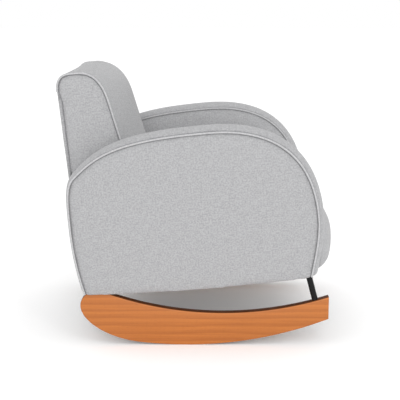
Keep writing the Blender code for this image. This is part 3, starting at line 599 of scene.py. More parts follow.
# ---- seat ----------------------------------------------------------------------------------------
# A tight seat: foam over arched springs, its cover pulled down over the front rail in one swell and
# tucked away beside the arms and behind the back.
SEAT_START = 0.006
SEAT_VOXEL = 0.0068
SEAT_FOOT = 0.014               # the cover is pulled back this far from the nose to its lower edge
seat_low, seat_high = body_box("seat_cushion")
rail_low = body_box("seat_front_rail")[0]
deck_high = body_box("seat_deck_pad")[1]
SEAT_FRONT, RAIL_FRONT, SEAT_REAR = seat_low.y, rail_low.y, seat_high.y
SEAT_SIDE_TOP, SEAT_CROWN, NOSE_CROWN = 0.215, 0.015, 0.051


def seat_outline(swell):
    """The seat's side section at a share of its crown."""
    lift = SEAT_CROWN * swell - SEAT_START * 0.7
    nose_y = SEAT_FRONT + NOSE_CROWN * (1.0 - swell) + SEAT_START * 0.2
    top_rear = (SEAT_REAR, SEAT_SIDE_TOP - 0.004 + lift * 0.4)
    front = drawn((
        ((nose_y + SEAT_FOOT, 0.0), None, (-0.010, 0.024)),
        ((nose_y, 0.090), (0.0, -0.040), (0.0, 0.070)),
        ((RAIL_FRONT + 0.045, SEAT_SIDE_TOP + lift), (-0.060, 0.0), (0.150, 0.010 * swell)),
        (top_rear, (-0.150, 0.010 * swell), None)), 150)
    deck_top = deck_high.z + CLEARANCE
    under = np.array((top_rear, (SEAT_REAR, deck_top), (RAIL_FRONT - CLEARANCE, deck_top),
                      (RAIL_FRONT - CLEARANCE, 0.0), (nose_y + SEAT_FOOT, 0.0)))
    return np.vstack((front, evenly(under, 110)[1:-1]))


seat_half = seat_high.x - 0.0005
shares = np.linspace(-1.0, 1.0, 25)
seat = skin("tight_seat", [section(seat_half * share, seat_outline(1.0 - abs(share) ** 3))
                           for share in shares])


def seat_held(points):
    """Held beside the arms, on the deck and rail, and where the cover is stapled underneath."""
    beside = np.abs(points[:, 0]) > seat_half - 0.010
    on_deck = (points[:, 1] > RAIL_FRONT - 0.010) & (points[:, 2] < deck_high.z + 0.010)
    return beside | on_deck | (points[:, 2] < 0.012) | (points[:, 1] > SEAT_REAR - 0.012)


stuff(seat, SEAT_START, seat_held, SEAT_VOXEL)
seat_points = points_of(seat)
_, seat_run = distance_to(seat_outline(0.6)[:150], seat_points)
lay_cloth(seat, seat_run, seat_points[:, 0], seat_half - np.abs(seat_points[:, 0]) + 0.002)
dress(seat, grey_fabric, "grey_fabric", "seat_cushion", fill=0.8)


# ---- inside back ---------------------------------------------------------------------------------
# A deep foam pad over webbing. Its cover is sewn to the two boxed sides, swells out between them, and
# is carried over the top to the outside back.
BACK_START = 0.007
BACK_TUCK = 0.018               # the cover reaches this far below the pad, down to the seat
BACK_SPREAD = 0.0046            # and its ends bulge this far, up to the piping
back_high = body_box("back_right_welt")[1]
pad_low, pad_high = body_box("inside_back_pad")
webbing_low = body_box("back_webbing_1")[0]
BACK_TOP, BACK_REAR, BACK_BASE = back_high.z, back_high.y, pad_low.z - BACK_TUCK
BACK_LEDGE = body_box("outside_back_panel")[1].z + 2.0 * CLEARANCE


def back_line(swell, count, shrink=0.0):
    """The inside back's line from the seat up its front and over its top, at a share of its crown."""
    push, lift = (0.053 - shrink) * swell, (0.011 - shrink) * swell
    bend = (BACK_REAR - 0.160 - push, BACK_TOP - 0.095 + lift)
    run = (bend[1] - BACK_BASE) * math.tan(math.radians(12.5))
    top_rear = (BACK_REAR - 0.046 - 0.25 * push, BACK_TOP + 0.2 * lift)
    return drawn((
        ((bend[0] - run, BACK_BASE), None, (0.3 * run, 0.09)),
        (bend, (-0.022, -0.10), (0.0125, 0.056)),
        ((BACK_REAR - 0.071 - 0.7 * push, BACK_TOP + lift), (-0.050, 0.0), (0.008, 0.0)),
        (top_rear, (-0.008, 0.1 * lift), (0.030 + 0.1 * push, -0.1 * lift)),
        ((BACK_REAR, BACK_TOP - 0.055), (0.0, 0.036), None)), count)


def frame_front(z):
    """Y of the front of the leaning back frame, at a height."""
    rise_low = body_box("back_webbing_3")[0]
    slope = (rise_low.y - webbing_low.y) / (rise_low.z - webbing_low.z)
    return webbing_low.y + (z - webbing_low.z) * slope - 0.0006


def back_section(swell):
    """The pad's closed side section: its line, then down over the frame and forward under it."""
    front = back_line(swell, 170, BACK_START * 0.8)
    under = np.array((front[-1], (BACK_REAR, BACK_LEDGE), (frame_front(BACK_LEDGE), BACK_LEDGE),
                      (frame_front(BACK_BASE), BACK_BASE), (front[0, 0] + 0.035, BACK_BASE - 0.003),
                      front[0]))
    return np.vstack((front, evenly(under, 120)[1:-1]))


back_half = pad_high.x + BACK_SPREAD
shares = np.linspace(-1.0, 1.0, 31)
inside_back = skin("inside_back", [section(back_half * share, back_section(1.0 - share ** 2))
                                   for share in shares])


def back_held(points):
    """Held at the side seams, on the frame, and where the cover meets the outside back."""
    at_side = np.abs(points[:, 0]) > back_half - 0.006
    on_frame = points[:, 1] > np.array([frame_front(z) for z in points[:, 2]]) - 0.006
    low = points[:, 2] < BACK_LEDGE + 0.010
    return at_side | (on_frame & low) | (points[:, 2] < BACK_BASE + 0.006)


stuff(inside_back, BACK_START, back_held, SEAT_VOXEL)
back_points = points_of(inside_back)
_, back_run = distance_to(back_line(0.6, 300), back_points)
lay_cloth(inside_back, back_run, back_points[:, 0], back_half - np.abs(back_points[:, 0]))
dress(inside_back, grey_fabric, "grey_fabric", "inside_back_pad", fill=0.85)


# ---- back sides ----------------------------------------------------------------------------------
# A thin padded panel closes each side of the back. Only its upper part shows, above the arm.
SIDE_REAR_INSET = 0.0125        # its rear edge stops at the outside back's folded edge
side_low, side_high = body_box("back_right_side_panel")


def rear_line(count, inset):
    """The body's rear between the arms, from the top of the outside back down to its foot."""
    return moved_in(drawn((
        ((BACK_REAR, BACK_LEDGE), None, (-0.001, -0.10)),
        ((ARM_REAR, 0.210), (0.0, 0.06), (0.0, -0.080)),
        ((ARM_REAR_FOOT, 0.0), (0.014, 0.060), None)), count), inset)


def back_side_outline(inset):
    """A back side's outline: inside the piped seam, then down the outside back's inner face."""
    upper = moved_in(back_line(0.0, 170), inset)
    rear = rear_line(200, SIDE_REAR_INSET + inset - SEAM_GAP)
    rear = evenly(rear[rear[:, 1] > BACK_BASE], 60)
    step = np.array(((upper[-1, 0], BACK_LEDGE),))
    lower = evenly(np.array((rear[-1], upper[0])), 40)
    return np.vstack((upper, step, rear, lower[1:-1]))


side_face = side_low.x + PANEL_START
stations = ((side_low.x + PANEL_DEPTH, SEAM_GAP), (side_face + 0.002, SEAM_GAP),
            (side_face, SEAM_GAP + RIM_ROUND))
back_side = skin("right_back_side", [section(x, back_side_outline(inset)) for x, inset in stations])
stuff(back_side, PANEL_START, lambda points: points[:, 0] > side_low.x + PANEL_FREE)
cut_flat(back_side, (side_high.x, 0.0, 0.0), (1.0, 0.0, 0.0))
side_points = points_of(back_side)
lay_cloth(back_side, side_points[:, 1], side_points[:, 2],
          distance_to(moved_in(back_line(0.0, 300), SEAM_GAP), side_points)[0])
dress(back_side, grey_fabric, "grey_fabric", "back_right_side_panel", fill=0.9)
twin(back_side)


# ---- back piping ---------------------------------------------------------------------------------
# The same piping as on the arms, sewn between each side of the back and its crowned front and top.
cord_low, cord_high = body_box("back_right_welt")
back_cord = piping("right_back_piping", (cord_low.x + cord_high.x) / 2.0 - PIPING_STAND,
                   moved_in(back_line(0.0, 260), PIPING_RADIUS), "back_right_welt")
twin(back_cord)


# ---- outside back --------------------------------------------------------------------------------
# The last panel to go on: cloth over thin padding, blind-tacked under the inside back's cover at the
# top and folded round the sides, so that its edges stand slightly proud.
OUTSIDE_START = 0.003
OUTSIDE_THICKNESS = 0.014
OUTSIDE_LAP = 0.016             # its top edge runs this far up under the inside back's cover


def outside_section(swell):
    """The panel's side section, filled out by a share of its padding."""
    outer = rear_line(150, 0.0006 + 0.004 * (1.0 - swell))
    inner = rear_line(150, OUTSIDE_THICKNESS)
    outer[-1, 1] = inner[-1, 1] = 0.0
    outer[0, 1] = inner[0, 1] = BACK_LEDGE + OUTSIDE_LAP
    return np.vstack((outer, inner[::-1]))


outside_half = body_box("outside_back_panel")[1].x
shares = np.linspace(-1.0, 1.0, 29)
outside_back = skin("outside_back", [section(outside_half * share, outside_section(1.0 - abs(share) ** 24))
                                     for share in shares])


def outside_held(points):
    """Held on its backing and all round its edges."""
    on_backing = distance_to(rear_line(150, 0.0), points)[0] > 0.008
    at_side = np.abs(points[:, 0]) > outside_half - 0.006
    return on_backing | at_side | (points[:, 2] > BACK_LEDGE - 0.006) | (points[:, 2] < 0.006)


stuff(outside_back, OUTSIDE_START, outside_held)
outside_points = points_of(outside_back)
lay_cloth(outside_back, outside_points[:, 0], outside_points[:, 2],
          np.minimum(outside_half - np.abs(outside_points[:, 0]), BACK_LEDGE - outside_points[:, 2]))
dress(outside_back, grey_fabric, "grey_fabric", "outside_back_panel", fill=0.9)


# ---- rockers -------------------------------------------------------------------------------------
# Sawn from solid cherry-coloured hardwood, 30 mm thick, rounded over at the top and eased at the sole,
# and finished in satin lacquer. The body sits on the rear, and a steel post carries the front.
SOLE_RADIUS = 1.2
SOLE_TOUCH = 0.038
TOP_RADIUS = 1.07
TOP_LOWEST = (-0.075, 0.104)
NOSE_OVERHANG = 0.0255          # the nose reaches this far behind the flat under the body
NOSE_DROP = 0.038               # its rearmost point is this far below that flat
NOSE_RUN = 0.182                # and this far behind the end of the sole's arc
ROUND_OVER = 0.0085
SOLE_EASING = 0.36              # the sole's edge radius, as a share of the top's round-over
FRONT_EASING = 0.25             # and that of the square front end
NOSE_POINTS = 48                # outline points round the nose, before the round-over starts to grow
GROWTH_POINTS = 25.0            # and points over which it grows to full size
POST_LEAN = math.radians(15.1)
POST_SETBACK = 0.043            # post's axis at the body's underside, behind the arm's foremost seam
BOLT_RECESS_RADIUS = 0.0082
BOLT_RECESS_DEPTH = 0.012
rocker_low, rocker_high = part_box("right_rocker")
post_low, post_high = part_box("right_front_post")


def on_sweep(y, lowest_y, lowest_z, radius):
    """Points of a circular sweep over its lowest point."""
    return np.column_stack((y, lowest_z + radius - np.sqrt(radius ** 2 - (y - lowest_y) ** 2)))


def row_point(y, z):
    """A side-plane point of the body, in the row frame."""
    placed = body_frame @ Vector((0.0, y, z))
    return placed.y, placed.z


def under_body(y):
    """Height of the body's underside over a Y place, less the gap that touching meshes keep."""
    return BODY_PLACE[2] - (y - BODY_PLACE[1]) * math.tan(BODY_TILT) - CLEARANCE


def rocker_outline():
    """The rocker's outline: its sole, its round nose with the flat under the body, and its top sweep."""
    sweep = on_sweep(np.linspace(0.2, 0.34, 800), *TOP_LOWEST, TOP_RADIUS)
    flat_front = sweep[np.abs(sweep[:, 1] - under_body(sweep[:, 0])).argmin()]
    flat_rear_y = row_point(ARM_REAR_FOOT, 0.0)[0] - 0.012
    nose = (flat_rear_y + NOSE_OVERHANG, under_body(flat_rear_y) - NOSE_DROP)
    sole_end_y = nose[0] - NOSE_RUN
    slope = math.tan(math.asin((sole_end_y - SOLE_TOUCH) / SOLE_RADIUS))
    sole = on_sweep(np.linspace(rocker_low.y, sole_end_y, 60), SOLE_TOUCH, 0.0, SOLE_RADIUS)
    rear = drawn((
        (tuple(sole[-1]), None, (0.10, 0.10 * slope)),
        (nose, (0.0, -0.050), (0.0, 0.018)),
        ((flat_rear_y, under_body(flat_rear_y)), (0.012, -0.001), (-0.018, 0.0015)),
        (tuple(flat_front), (0.018, -0.0015), None)), 90)
    top = on_sweep(np.linspace(flat_front[0], rocker_low.y, 70), *TOP_LOWEST, TOP_RADIUS)
    return sole, rear, top


sole, rear, top = rocker_outline()
outline = np.vstack((sole[:-1], rear, top[1:]))
bpy.ops.object.select_all(action="DESELECT")
bpy.ops.mesh.primitive_circle_add(vertices=len(outline), fill_type="NGON")
rocker = bpy.context.object
rocker.name = "right_rocker_wood"
for vertex, (y, z) in zip(rocker.data.vertices, outline):
    vertex.co = (rocker_low.x, y, z)
bpy.ops.object.mode_set(mode="EDIT")
bpy.ops.mesh.select_all(action="SELECT")
bpy.ops.mesh.extrude_region_move(
    TRANSFORM_OT_translate={"value": (rocker_high.x - rocker_low.x, 0.0, 0.0)})
bpy.ops.mesh.select_all(action="SELECT")
bpy.ops.mesh.normals_make_consistent(inside=False)
bpy.ops.object.mode_set(mode="OBJECT")

upper_start = len(sole) - 1 + NOSE_POINTS
weights = rocker.data.attributes.new("bevel_weight_edge", "FLOAT", "EDGE")
count = len(outline)
for edge in rocker.data.edges:
    first, second = sorted(edge.vertices)
    low, high = first % count, second % count
    if low == high:
        weight = FRONT_EASING if low in (0, count - 1) else 0.0
    elif {low, high} == {0, count - 1}:
        weight = FRONT_EASING
    else:
        share = min(1.0, max(0.0, (low - upper_start) / GROWTH_POINTS))
        weight = SOLE_EASING + (1.0 - SOLE_EASING) * share
    weights.data[edge.index].value = weight
apply_modifier(rocker, "BEVEL", width=ROUND_OVER, segments=5, limit_method="WEIGHT")


def grain_group():
    """Sawn grain along Y: growth bands, fine fibres and short pores."""
    tree, given, result = new_group("sawn_grain", (("Vector", "NodeSocketVector", None),
                                                   ("Band", "NodeSocketFloat", 60.0)),
                                    ("Bands", "Fibres", "Pores"))
    wobble = noise(tree, stretched(tree, given["Vector"], (6.0, 2.2, 9.0)), 1.0, 2.0)
    parts = node(tree, "ShaderNodeSeparateXYZ", {0: given["Vector"]}).outputs
    height = maths(tree, "MULTIPLY_ADD", wobble, 0.030, parts["Z"])
    height = maths(tree, "MULTIPLY_ADD", parts["X"], 0.35, height)
    bands = maths(tree, "FRACT", maths(tree, "MULTIPLY", height, given["Band"]))
    bands = maths(tree, "MULTIPLY", between_values(tree, bands, 0.0, 0.82),
                  maths(tree, "SUBTRACT", 1.0, between_values(tree, bands, 0.84, 1.0)))
    fibres = noise(tree, stretched(tree, given["Vector"], (340.0, 6.0, 620.0)), 1.0, 4.0)
    pores = noise(tree, stretched(tree, given["Vector"], (900.0, 70.0, 1500.0)), 1.0, 1.0)
    tree.links.new(bands, result["Bands"])
    tree.links.new(fibres, result["Fibres"])
    tree.links.new(between_values(tree, pores, 0.60, 0.72), result["Pores"])
    return tree


sawn_grain = grain_group()


def colour_between(tree, share, dark, light):
    """The colour socket of one Mix node; each end is a colour or a colour socket."""
    ends = [end if isinstance(end, bpy.types.NodeSocket) else (*end, 1.0) for end in (dark, light)]
    return node(tree, "ShaderNodeMix", {0: share, 6: ends[0], 7: ends[1]}, data_type="RGBA").outputs[2]


def paint(tree, shader, share, dark, light):
    """Colour a shader by a share between two colours."""
    tree.links.new(colour_between(tree, share, dark, light), shader.inputs["Base Color"])


def raise_relief(tree, shader, height, strength, distance):
    """Feed one Bump node to a shader's normal."""
    bump = node(tree, "ShaderNodeBump", {"Strength": strength, "Distance": distance, "Height": height})
    tree.links.new(bump.outputs["Normal"], shader.inputs["Normal"])


def wood_material(name, dark, light, band, turn=(0.0, 0.0, 0.0), **plain):
    """Sawn wood: bands and fibres in its colour, pores in its relief. Turn lays the grain off Y."""
    material, tree, shader = finish_shader(name, **plain)
    place = node(tree, "ShaderNodeTexCoord").outputs["Object"]
    place = node(tree, "ShaderNodeMapping", {"Vector": place, "Rotation": turn}).outputs[0]
    grain = node(tree, "ShaderNodeGroup", {"Vector": place, "Band": band}, node_tree=sawn_grain)
    tone = maths(tree, "MULTIPLY_ADD", grain.outputs["Fibres"], 0.55,
                 maths(tree, "MULTIPLY_ADD", grain.outputs["Bands"], 0.16, 0.16))
    colour = colour_between(tree, between_values(tree, tone, 0.28, 0.78), dark, light)
    colour = colour_between(tree, maths(tree, "MULTIPLY", grain.outputs["Pores"], 0.35), colour,
                            [0.6 * part for part in dark])
    tree.links.new(colour, shader.inputs["Base Color"])
    tree.links.new(maths(tree, "MULTIPLY_ADD", grain.outputs["Fibres"], 0.18, 0.36),
                   shader.inputs["Roughness"])
    raise_relief(tree, shader, maths(tree, "SUBTRACT", grain.outputs["Fibres"], grain.outputs["Pores"]),
                 0.25, 0.0002)
    return material, tree, shader, colour


cherry, cherry_tree, cherry_shader, cherry_colour = wood_material(
    "cherry_lacquer", (0.345, 0.100, 0.016), (0.490, 0.158, 0.028), 42.0, Coat_Weight=0.20,
    Coat_Roughness=0.30, Specular_IOR_Level=0.30)
# Painted shade: every face that doesn't face sideways (the top under the body, the sole and the ends) is
# darkened most of the way to near black.
sideways = node(cherry_tree, "ShaderNodeSeparateXYZ",
                {0: node(cherry_tree, "ShaderNodeNewGeometry").outputs["True Normal"]}).outputs["X"]
sideways = maths(cherry_tree, "ABSOLUTE", sideways)
painted_shade_share = maths(cherry_tree, "SUBTRACT", 0.88, between_values(cherry_tree, sideways, 0.40, 0.85))
painted_shade_share = maths(cherry_tree, "MAXIMUM", painted_shade_share, 0.0)
paint(cherry_tree, cherry_shader, painted_shade_share, cherry_colour, (0.060, 0.016, 0.005))

# The hole for the post's bolt is counterbored from the sole, along the post's raked axis.
post_x = (post_low.x + post_high.x) / 2.0
post_head = body_frame @ Vector((post_x, ARM_FRONT + POST_SETBACK, -0.0018))
post_down = Vector((0.0, -math.sin(POST_LEAN), -math.cos(POST_LEAN)))
reaches = np.linspace(0.12, 0.24, 600)
axis_points = np.array([post_head + post_down * reach for reach in reaches])
sole_heights = on_sweep(axis_points[:, 1], SOLE_TOUCH, 0.0, SOLE_RADIUS)[:, 1]
sole_reach = reaches[np.abs(axis_points[:, 2] - sole_heights).argmin()]
bpy.ops.object.select_all(action="DESELECT")
bpy.ops.mesh.primitive_cylinder_add(vertices=40, radius=BOLT_RECESS_RADIUS, depth=2.0 * BOLT_RECESS_DEPTH,
                                    location=post_head + post_down * sole_reach,
                                    rotation=(-POST_LEAN, 0.0, 0.0))
counterbore = bpy.context.object
bpy.ops.object.select_all(action="DESELECT")
rocker.select_set(True)
bpy.context.view_layer.objects.active = rocker
apply_modifier(rocker, "BOOLEAN", operation="DIFFERENCE", object=counterbore, solver="EXACT")
bpy.data.objects.remove(counterbore)

rocker.data.materials.clear()
rocker.data.materials.append(cherry)
bpy.ops.object.shade_smooth_by_angle(angle=math.radians(32.0))
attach(rocker, "root")
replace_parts(rocker, "right_rocker")
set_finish(rocker, "cherry")
twin(rocker)


# ---- front posts ---------------------------------------------------------------------------------
# A raked steel rod, welded to a flat plate that is screwed up into the arm's bottom rail. Rod, bead and
# plate are sprayed gloss black together.
POST_RADIUS = 0.0095
PLATE_SIZE = (0.040, 0.070, 0.003)
PLATE_FRONT = ARM_FRONT + POST_SETBACK - POST_RADIUS - 0.0015


def joined(first, others):
    """Join the other objects into the first one."""
    bpy.ops.object.select_all(action="DESELECT")
    for part in (first, *others):
        part.select_set(True)
    bpy.context.view_layer.objects.active = first
    bpy.ops.object.join()
    return first


post_length = (post_head.z - post_low.z) / math.cos(POST_LEAN)
bpy.ops.object.select_all(action="DESELECT")
bpy.ops.mesh.primitive_cylinder_add(vertices=48, radius=POST_RADIUS, depth=post_length,
                                    location=post_head + post_down * post_length / 2.0,
                                    rotation=(-POST_LEAN, 0.0, 0.0))
post = bpy.context.object
post.name = "right_steel_post"
bpy.ops.mesh.primitive_cube_add(size=1.0)
plate = bpy.context.object
plate.scale = PLATE_SIZE
plate.location = (post_x, PLATE_FRONT + PLATE_SIZE[1] / 2.0, -CLEARANCE - PLATE_SIZE[2] / 2.0)
bpy.ops.object.transform_apply(location=True, scale=True)
apply_modifier(plate, "BEVEL", width=0.0006, segments=2)
plate.data.transform(body_frame)
bpy.ops.mesh.primitive_torus_add(major_radius=POST_RADIUS + 0.0005, minor_radius=0.0022, major_segments=64,
                                 minor_segments=10)
bead = bpy.context.object
bead_tilt = POST_LEAN - BODY_TILT
bead_y = ARM_FRONT + POST_SETBACK - 0.0033 * math.tan(bead_tilt)
bead.data.transform(body_frame @ Matrix.Translation((post_x, bead_y, -0.0033)))
joined(post, (plate, bead))
bpy.ops.object.transform_apply(location=True, rotation=True, scale=True)

gloss_black, black_tree, black_shader = finish_shader("gloss_black_enamel", Roughness=0.24,
                                                      Specular_IOR_Level=0.22)
black_place = node(black_tree, "ShaderNodeTexCoord").outputs["Object"]
spray = noise(black_tree, black_place, 900.0, 2.0)
paint(black_tree, black_shader, spray, (0.0015, 0.0015, 0.0018), (0.005, 0.005, 0.006))
raise_relief(black_tree, black_shader, spray, 0.08, 0.0003)
post.data.materials.clear()
post.data.materials.append(gloss_black)
bpy.ops.object.shade_smooth_by_angle(angle=math.radians(40.0))
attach(post, "root")
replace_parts(post, "right_front_post")
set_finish(post, "black_steel")
twin(post)


# ---- plate screws --------------------------------------------------------------------------------
# Two zinc-plated pan-head screws, driven up from below, hold each post's plate to the arm's bottom
# rail. Each has a round recess in its head.
SCREW_RADIUS = 0.0045
SCREW_RISE = 0.0012
SCREW_PLACES = (0.036, 0.058)    # behind the plate's front edge


def metal_group():
    """Plated or tempered metal: fine scuffs, and the dull patches that handling leaves."""
    tree, given, result = new_group("handled_metal", (("Vector", "NodeSocketVector", None),),
                                    ("Scuffs", "Dulling"))
    scuffs = noise(tree, stretched(tree, given["Vector"], (900.0, 160.0, 900.0)), 1.0, 3.0)
    dulling = noise(tree, given["Vector"], 120.0, 3.0)
    tree.links.new(scuffs, result["Scuffs"])
    tree.links.new(between_values(tree, dulling, 0.42, 0.62), result["Dulling"])
    return tree


handled_metal = metal_group()


def metal_material(name, dull, bright, roughness):
    """Bare or plated steel with scuffs and dull patches."""
    material, tree, shader = finish_shader(name, Metallic=1.0)
    place = node(tree, "ShaderNodeTexCoord").outputs["Object"]
    wear = node(tree, "ShaderNodeGroup", {"Vector": place}, node_tree=handled_metal).outputs
    paint(tree, shader, wear["Dulling"], bright, dull)
    tree.links.new(maths(tree, "MULTIPLY_ADD", wear["Scuffs"], 0.25, roughness), shader.inputs["Roughness"])
    raise_relief(tree, shader, wear["Scuffs"], 0.12, 0.0001)
    return material


zinc = metal_material("zinc_plate", (0.42, 0.42, 0.43), (0.62, 0.63, 0.65), 0.28)

screws = []
for behind in SCREW_PLACES:
    bpy.ops.object.select_all(action="DESELECT")
    bpy.ops.mesh.primitive_cylinder_add(vertices=24, radius=SCREW_RADIUS, depth=SCREW_RISE)
    screw = bpy.context.object
    bpy.ops.object.mode_set(mode="EDIT")
    bpy.ops.mesh.select_all(action="DESELECT")
    bpy.ops.mesh.select_mode(type="FACE")
    bpy.ops.object.mode_set(mode="OBJECT")
    for face in screw.data.polygons:
        face.select = face.normal.z < -0.9
    bpy.ops.object.mode_set(mode="EDIT")
    bpy.ops.mesh.inset(thickness=0.0009, depth=0.0004)
    bpy.ops.mesh.inset(thickness=0.0014, depth=0.0)
    bpy.ops.mesh.inset(thickness=0.0004, depth=-0.0010)
    bpy.ops.object.mode_set(mode="OBJECT")
    screw.data.transform(Matrix.Translation((post_x, PLATE_FRONT + behind,
                                             -CLEARANCE - PLATE_SIZE[2] - SCREW_RISE / 2.0)))
    screws.append(screw)
plate_screws = joined(screws[0], screws[1:])
plate_screws.name = "right_plate_screws"
plate_screws.data.transform(body_frame)
plate_screws.data.materials.append(zinc)
bpy.ops.object.shade_smooth_by_angle(angle=math.radians(30.0))
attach(plate_screws, "root")
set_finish(plate_screws, "zinc_steel")
twin(plate_screws)


# ---- dust cover ----------------------------------------------------------------------------------
# Thin black spun cloth, pulled over the open underside and stapled to the seat's rails all round. Its
# folded-in edge is drawn as a flat rim, and it sags a little between the rails.
DUST_SAG = 0.005
DUST_FOLD = 0.018               # width of its stapled edge, which lies flat
DUST_THICKNESS = 0.0005
STAPLE_SIZE = (0.0100, 0.0012, 0.0007)
STAPLE_PITCH = 0.045
STAPLE_INSET = 0.007
STAPLE_ASKEW = math.radians(3.0)
dust_low, dust_high = body_box("dust_cover")
dust_width, dust_length = dust_high.x - dust_low.x, dust_high.y - dust_low.y
bpy.ops.object.select_all(action="DESELECT")
bpy.ops.mesh.primitive_plane_add(size=1.0)
dust_cover = bpy.context.object
dust_cover.name = "dust_cover_cloth"
dust_cover.scale = (dust_width, dust_length, 1.0)
dust_cover.location = ((dust_low.x + dust_high.x) / 2.0, (dust_low.y + dust_high.y) / 2.0, dust_high.z)
bpy.ops.object.transform_apply(location=True, scale=True)
bpy.ops.object.mode_set(mode="EDIT")
bpy.ops.mesh.select_all(action="SELECT")
bpy.ops.mesh.inset(thickness=DUST_FOLD, depth=0.0)
bpy.ops.mesh.subdivide(number_cuts=26)
bpy.ops.object.mode_set(mode="OBJECT")
for vertex in dust_cover.data.vertices:
    inward = min(vertex.co.x - dust_low.x, dust_high.x - vertex.co.x,
                 vertex.co.y - dust_low.y, dust_high.y - vertex.co.y) - DUST_FOLD
    side = 2.0 * (vertex.co.x - dust_low.x) / dust_width - 1.0
    along = 2.0 * (vertex.co.y - dust_low.y) / dust_length - 1.0
    if inward > 0.0005:
        hang = (1.0 - side ** 2) * (1.0 - along ** 2)
        ripple = 0.12 * math.sin(9.0 * side) * math.sin(7.0 * along) * min(1.0, inward / 0.06)
        vertex.co.z -= DUST_SAG * (hang + ripple)
    else:
        vertex.co.z -= DUST_THICKNESS * 0.6
apply_modifier(dust_cover, "SOLIDIFY", thickness=DUST_THICKNESS, offset=-1.0)
dust_cover.data.transform(body_frame)
bpy.ops.object.shade_smooth_by_angle(angle=math.radians(40.0))

spun_black, spun_tree, spun_shader = finish_shader("spun_black_cloth", Roughness=0.95,
                                                   Specular_IOR_Level=0.1)
spun_place = node(spun_tree, "ShaderNodeTexCoord").outputs["Object"]
spun_threads = noise(spun_tree, spun_place, 900.0, 3.0)
spun_clumps = noise(spun_tree, spun_place, 160.0, 3.0)
spun_tone = maths(spun_tree, "MULTIPLY", spun_clumps, 0.5)
spun_tone = maths(spun_tree, "MULTIPLY_ADD", spun_threads, 0.5, spun_tone)
paint(spun_tree, spun_shader, between_values(spun_tree, spun_tone, 0.35, 0.65),
      (0.010, 0.010, 0.011), (0.035, 0.035, 0.037))
raise_relief(spun_tree, spun_shader, spun_tone, 0.5, 0.0004)
dust_cover.data.materials.append(spun_black)

bpy.ops.object.select_all(action="DESELECT")
bpy.ops.mesh.primitive_cube_add(size=1.0)
staple = bpy.context.object
staple.scale = STAPLE_SIZE
bpy.ops.object.transform_apply(scale=True)
apply_modifier(staple, "BEVEL", width=0.0002, segments=1)
staple_mesh = staple.data
bpy.data.objects.remove(staple)
rim_low = (dust_low.x + STAPLE_INSET, dust_low.y + STAPLE_INSET)
rim_high = (dust_high.x - STAPLE_INSET, dust_high.y - STAPLE_INSET)
staple_places = []
for place in np.arange(rim_low[0] + 0.5 * STAPLE_PITCH, rim_high[0], STAPLE_PITCH):
    staple_places += [(place, rim_low[1], 0.0), (place, rim_high[1], 0.0)]
for place in np.arange(rim_low[1] + 0.5 * STAPLE_PITCH, rim_high[1], STAPLE_PITCH):
    staple_places += [(rim_low[0], place, math.pi / 2.0), (rim_high[0], place, math.pi / 2.0)]
copies = []
for number, (x, y, turn) in enumerate(staple_places):
    copy = bpy.data.objects.new("staple_%d" % number, staple_mesh.copy())
    bpy.context.scene.collection.objects.link(copy)
    askew = STAPLE_ASKEW * math.sin(5.0 * number)
    copy.data.transform(Matrix.Translation((x, y, dust_high.z - 1.8 * DUST_THICKNESS))
                        @ Matrix.Rotation(turn + askew, 4, "Z"))
    copies.append(copy)
staples = joined(copies[-1], copies[:-1])
staples.name = "dust_cover_staples"
staples.data.transform(body_frame)
staples.data.materials.append(zinc)
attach(staples, "root")
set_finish(staples, "zinc_steel")

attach(dust_cover, "root")
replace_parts(dust_cover, "dust_cover")
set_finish(dust_cover, "dust_cloth")


# ---- timber frame --------------------------------------------------------------------------------
# Sawn softwood rails and posts, glued and dowelled, inside plywood-sided arms. Their CAD shapes stay as
# they are, and each piece's grain runs along its length.
def finish_nodes(material, *names):
    """Give carried-over CAD nodes their material."""
    for name in names:
        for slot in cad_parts[name].material_slots:
            slot.material = material


QUARTER = math.pi / 2.0
PINE_DARK, PINE_LIGHT = (0.44, 0.27, 0.12), (0.70, 0.52, 0.30)
pine_along = wood_material("pine_lengthways", PINE_DARK, PINE_LIGHT, 160.0, Specular_IOR_Level=0.25)[0]
pine_upright = wood_material("pine_upright", PINE_DARK, PINE_LIGHT, 160.0, turn=(-QUARTER, 0.0, 0.0),
                             Specular_IOR_Level=0.25)[0]
pine_across = wood_material("pine_across", PINE_DARK, PINE_LIGHT, 160.0, turn=(0.0, 0.0, QUARTER),
                            Specular_IOR_Level=0.25)[0]
finish_nodes(pine_along, "seat_left_rail", "seat_right_rail", "left_arm_bottom_rail",
             "right_arm_bottom_rail")
finish_nodes(pine_upright, "back_left_post", "back_right_post", "left_arm_front_post",
             "right_arm_front_post", "left_arm_rear_post", "right_arm_rear_post")
finish_nodes(pine_across, "seat_front_rail", "seat_rear_rail", "back_lower_rail", "back_top_rail")

PLY = 0.0015                    # thickness of one veneer
plywood, ply_tree, ply_shader, ply_face = wood_material("birch_plywood", (0.50, 0.36, 0.20),
                                                        (0.72, 0.58, 0.38), 50.0, Specular_IOR_Level=0.25)
ply_parts = node(ply_tree, "ShaderNodeSeparateXYZ",
                 {0: node(ply_tree, "ShaderNodeTexCoord").outputs["Object"]}).outputs
veneer = maths(ply_tree, "FRACT", maths(ply_tree, "DIVIDE", ply_parts["X"], 2.0 * PLY))
veneer = between_values(ply_tree, veneer, 0.47, 0.53)
ply_facing = node(ply_tree, "ShaderNodeSeparateXYZ",
                  {0: node(ply_tree, "ShaderNodeNewGeometry").outputs["True Normal"]}).outputs["X"]
edge_only = maths(ply_tree, "LESS_THAN", maths(ply_tree, "ABSOLUTE", ply_facing), 0.5)
veneer_share = maths(ply_tree, "MULTIPLY", maths(ply_tree, "MULTIPLY", veneer, edge_only), 0.6)
paint(ply_tree, ply_shader, veneer_share, ply_face, (0.26, 0.15, 0.07))
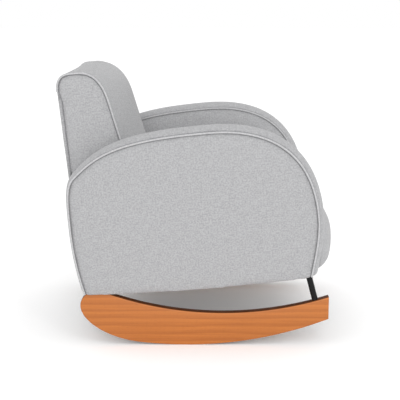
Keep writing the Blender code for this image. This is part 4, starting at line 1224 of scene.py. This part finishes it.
finish_nodes(plywood, "left_arm_inner_board", "left_arm_outer_board", "right_arm_inner_board",
             "right_arm_outer_board")


# ---- springs, webbing and fasteners --------------------------------------------------------------
# Arched wire springs carry the seat under a felt pad, and woven elastic webbing carries the back. Zinc
# bolts and studs hold the arms and the rockers.
spring_steel = metal_material("spring_steel", (0.10, 0.10, 0.11), (0.26, 0.27, 0.29), 0.34)
finish_nodes(spring_steel, *["seat_spring_%d" % number for number in range(1, 6)])
finish_nodes(zinc, *[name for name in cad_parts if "_bolt" in name or "_stud" in name])

felt, felt_tree, felt_shader = finish_shader("needled_felt", Roughness=0.97, Specular_IOR_Level=0.1)
felt_place = node(felt_tree, "ShaderNodeTexCoord").outputs["Object"]
felt_fibres = noise(felt_tree, stretched(felt_tree, felt_place, (700.0, 420.0, 700.0)), 1.0, 4.0)
paint(felt_tree, felt_shader, between_values(felt_tree, felt_fibres, 0.35, 0.65),
      (0.20, 0.19, 0.17), (0.42, 0.40, 0.37))
raise_relief(felt_tree, felt_shader, felt_fibres, 0.6, 0.0008)
finish_nodes(felt, "seat_deck_pad")

WEBBING_RIB = 0.0030
WEBBING_STRAND = WEBBING_RIB / 1.6
webbing, web_tree, web_shader = finish_shader("elastic_webbing", Roughness=0.85, Specular_IOR_Level=0.2)
web_place = node(web_tree, "ShaderNodeTexCoord").outputs["Object"]
web_parts = node(web_tree, "ShaderNodeSeparateXYZ", {0: web_place}).outputs
ribs = maths(web_tree, "MULTIPLY", web_parts["X"], math.pi / WEBBING_RIB)
ribs = maths(web_tree, "ABSOLUTE", maths(web_tree, "SINE", ribs))
strands = maths(web_tree, "MULTIPLY", web_parts["Z"], math.pi / WEBBING_STRAND)
strands = maths(web_tree, "ABSOLUTE", maths(web_tree, "SINE", strands))
web_relief = maths(web_tree, "MULTIPLY", ribs, strands)
paint(web_tree, web_shader, web_relief, (0.035, 0.035, 0.038), (0.16, 0.16, 0.17))
raise_relief(web_tree, web_shader, web_relief, 0.6, 0.0006)
finish_nodes(webbing, *[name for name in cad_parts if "webbing" in name])
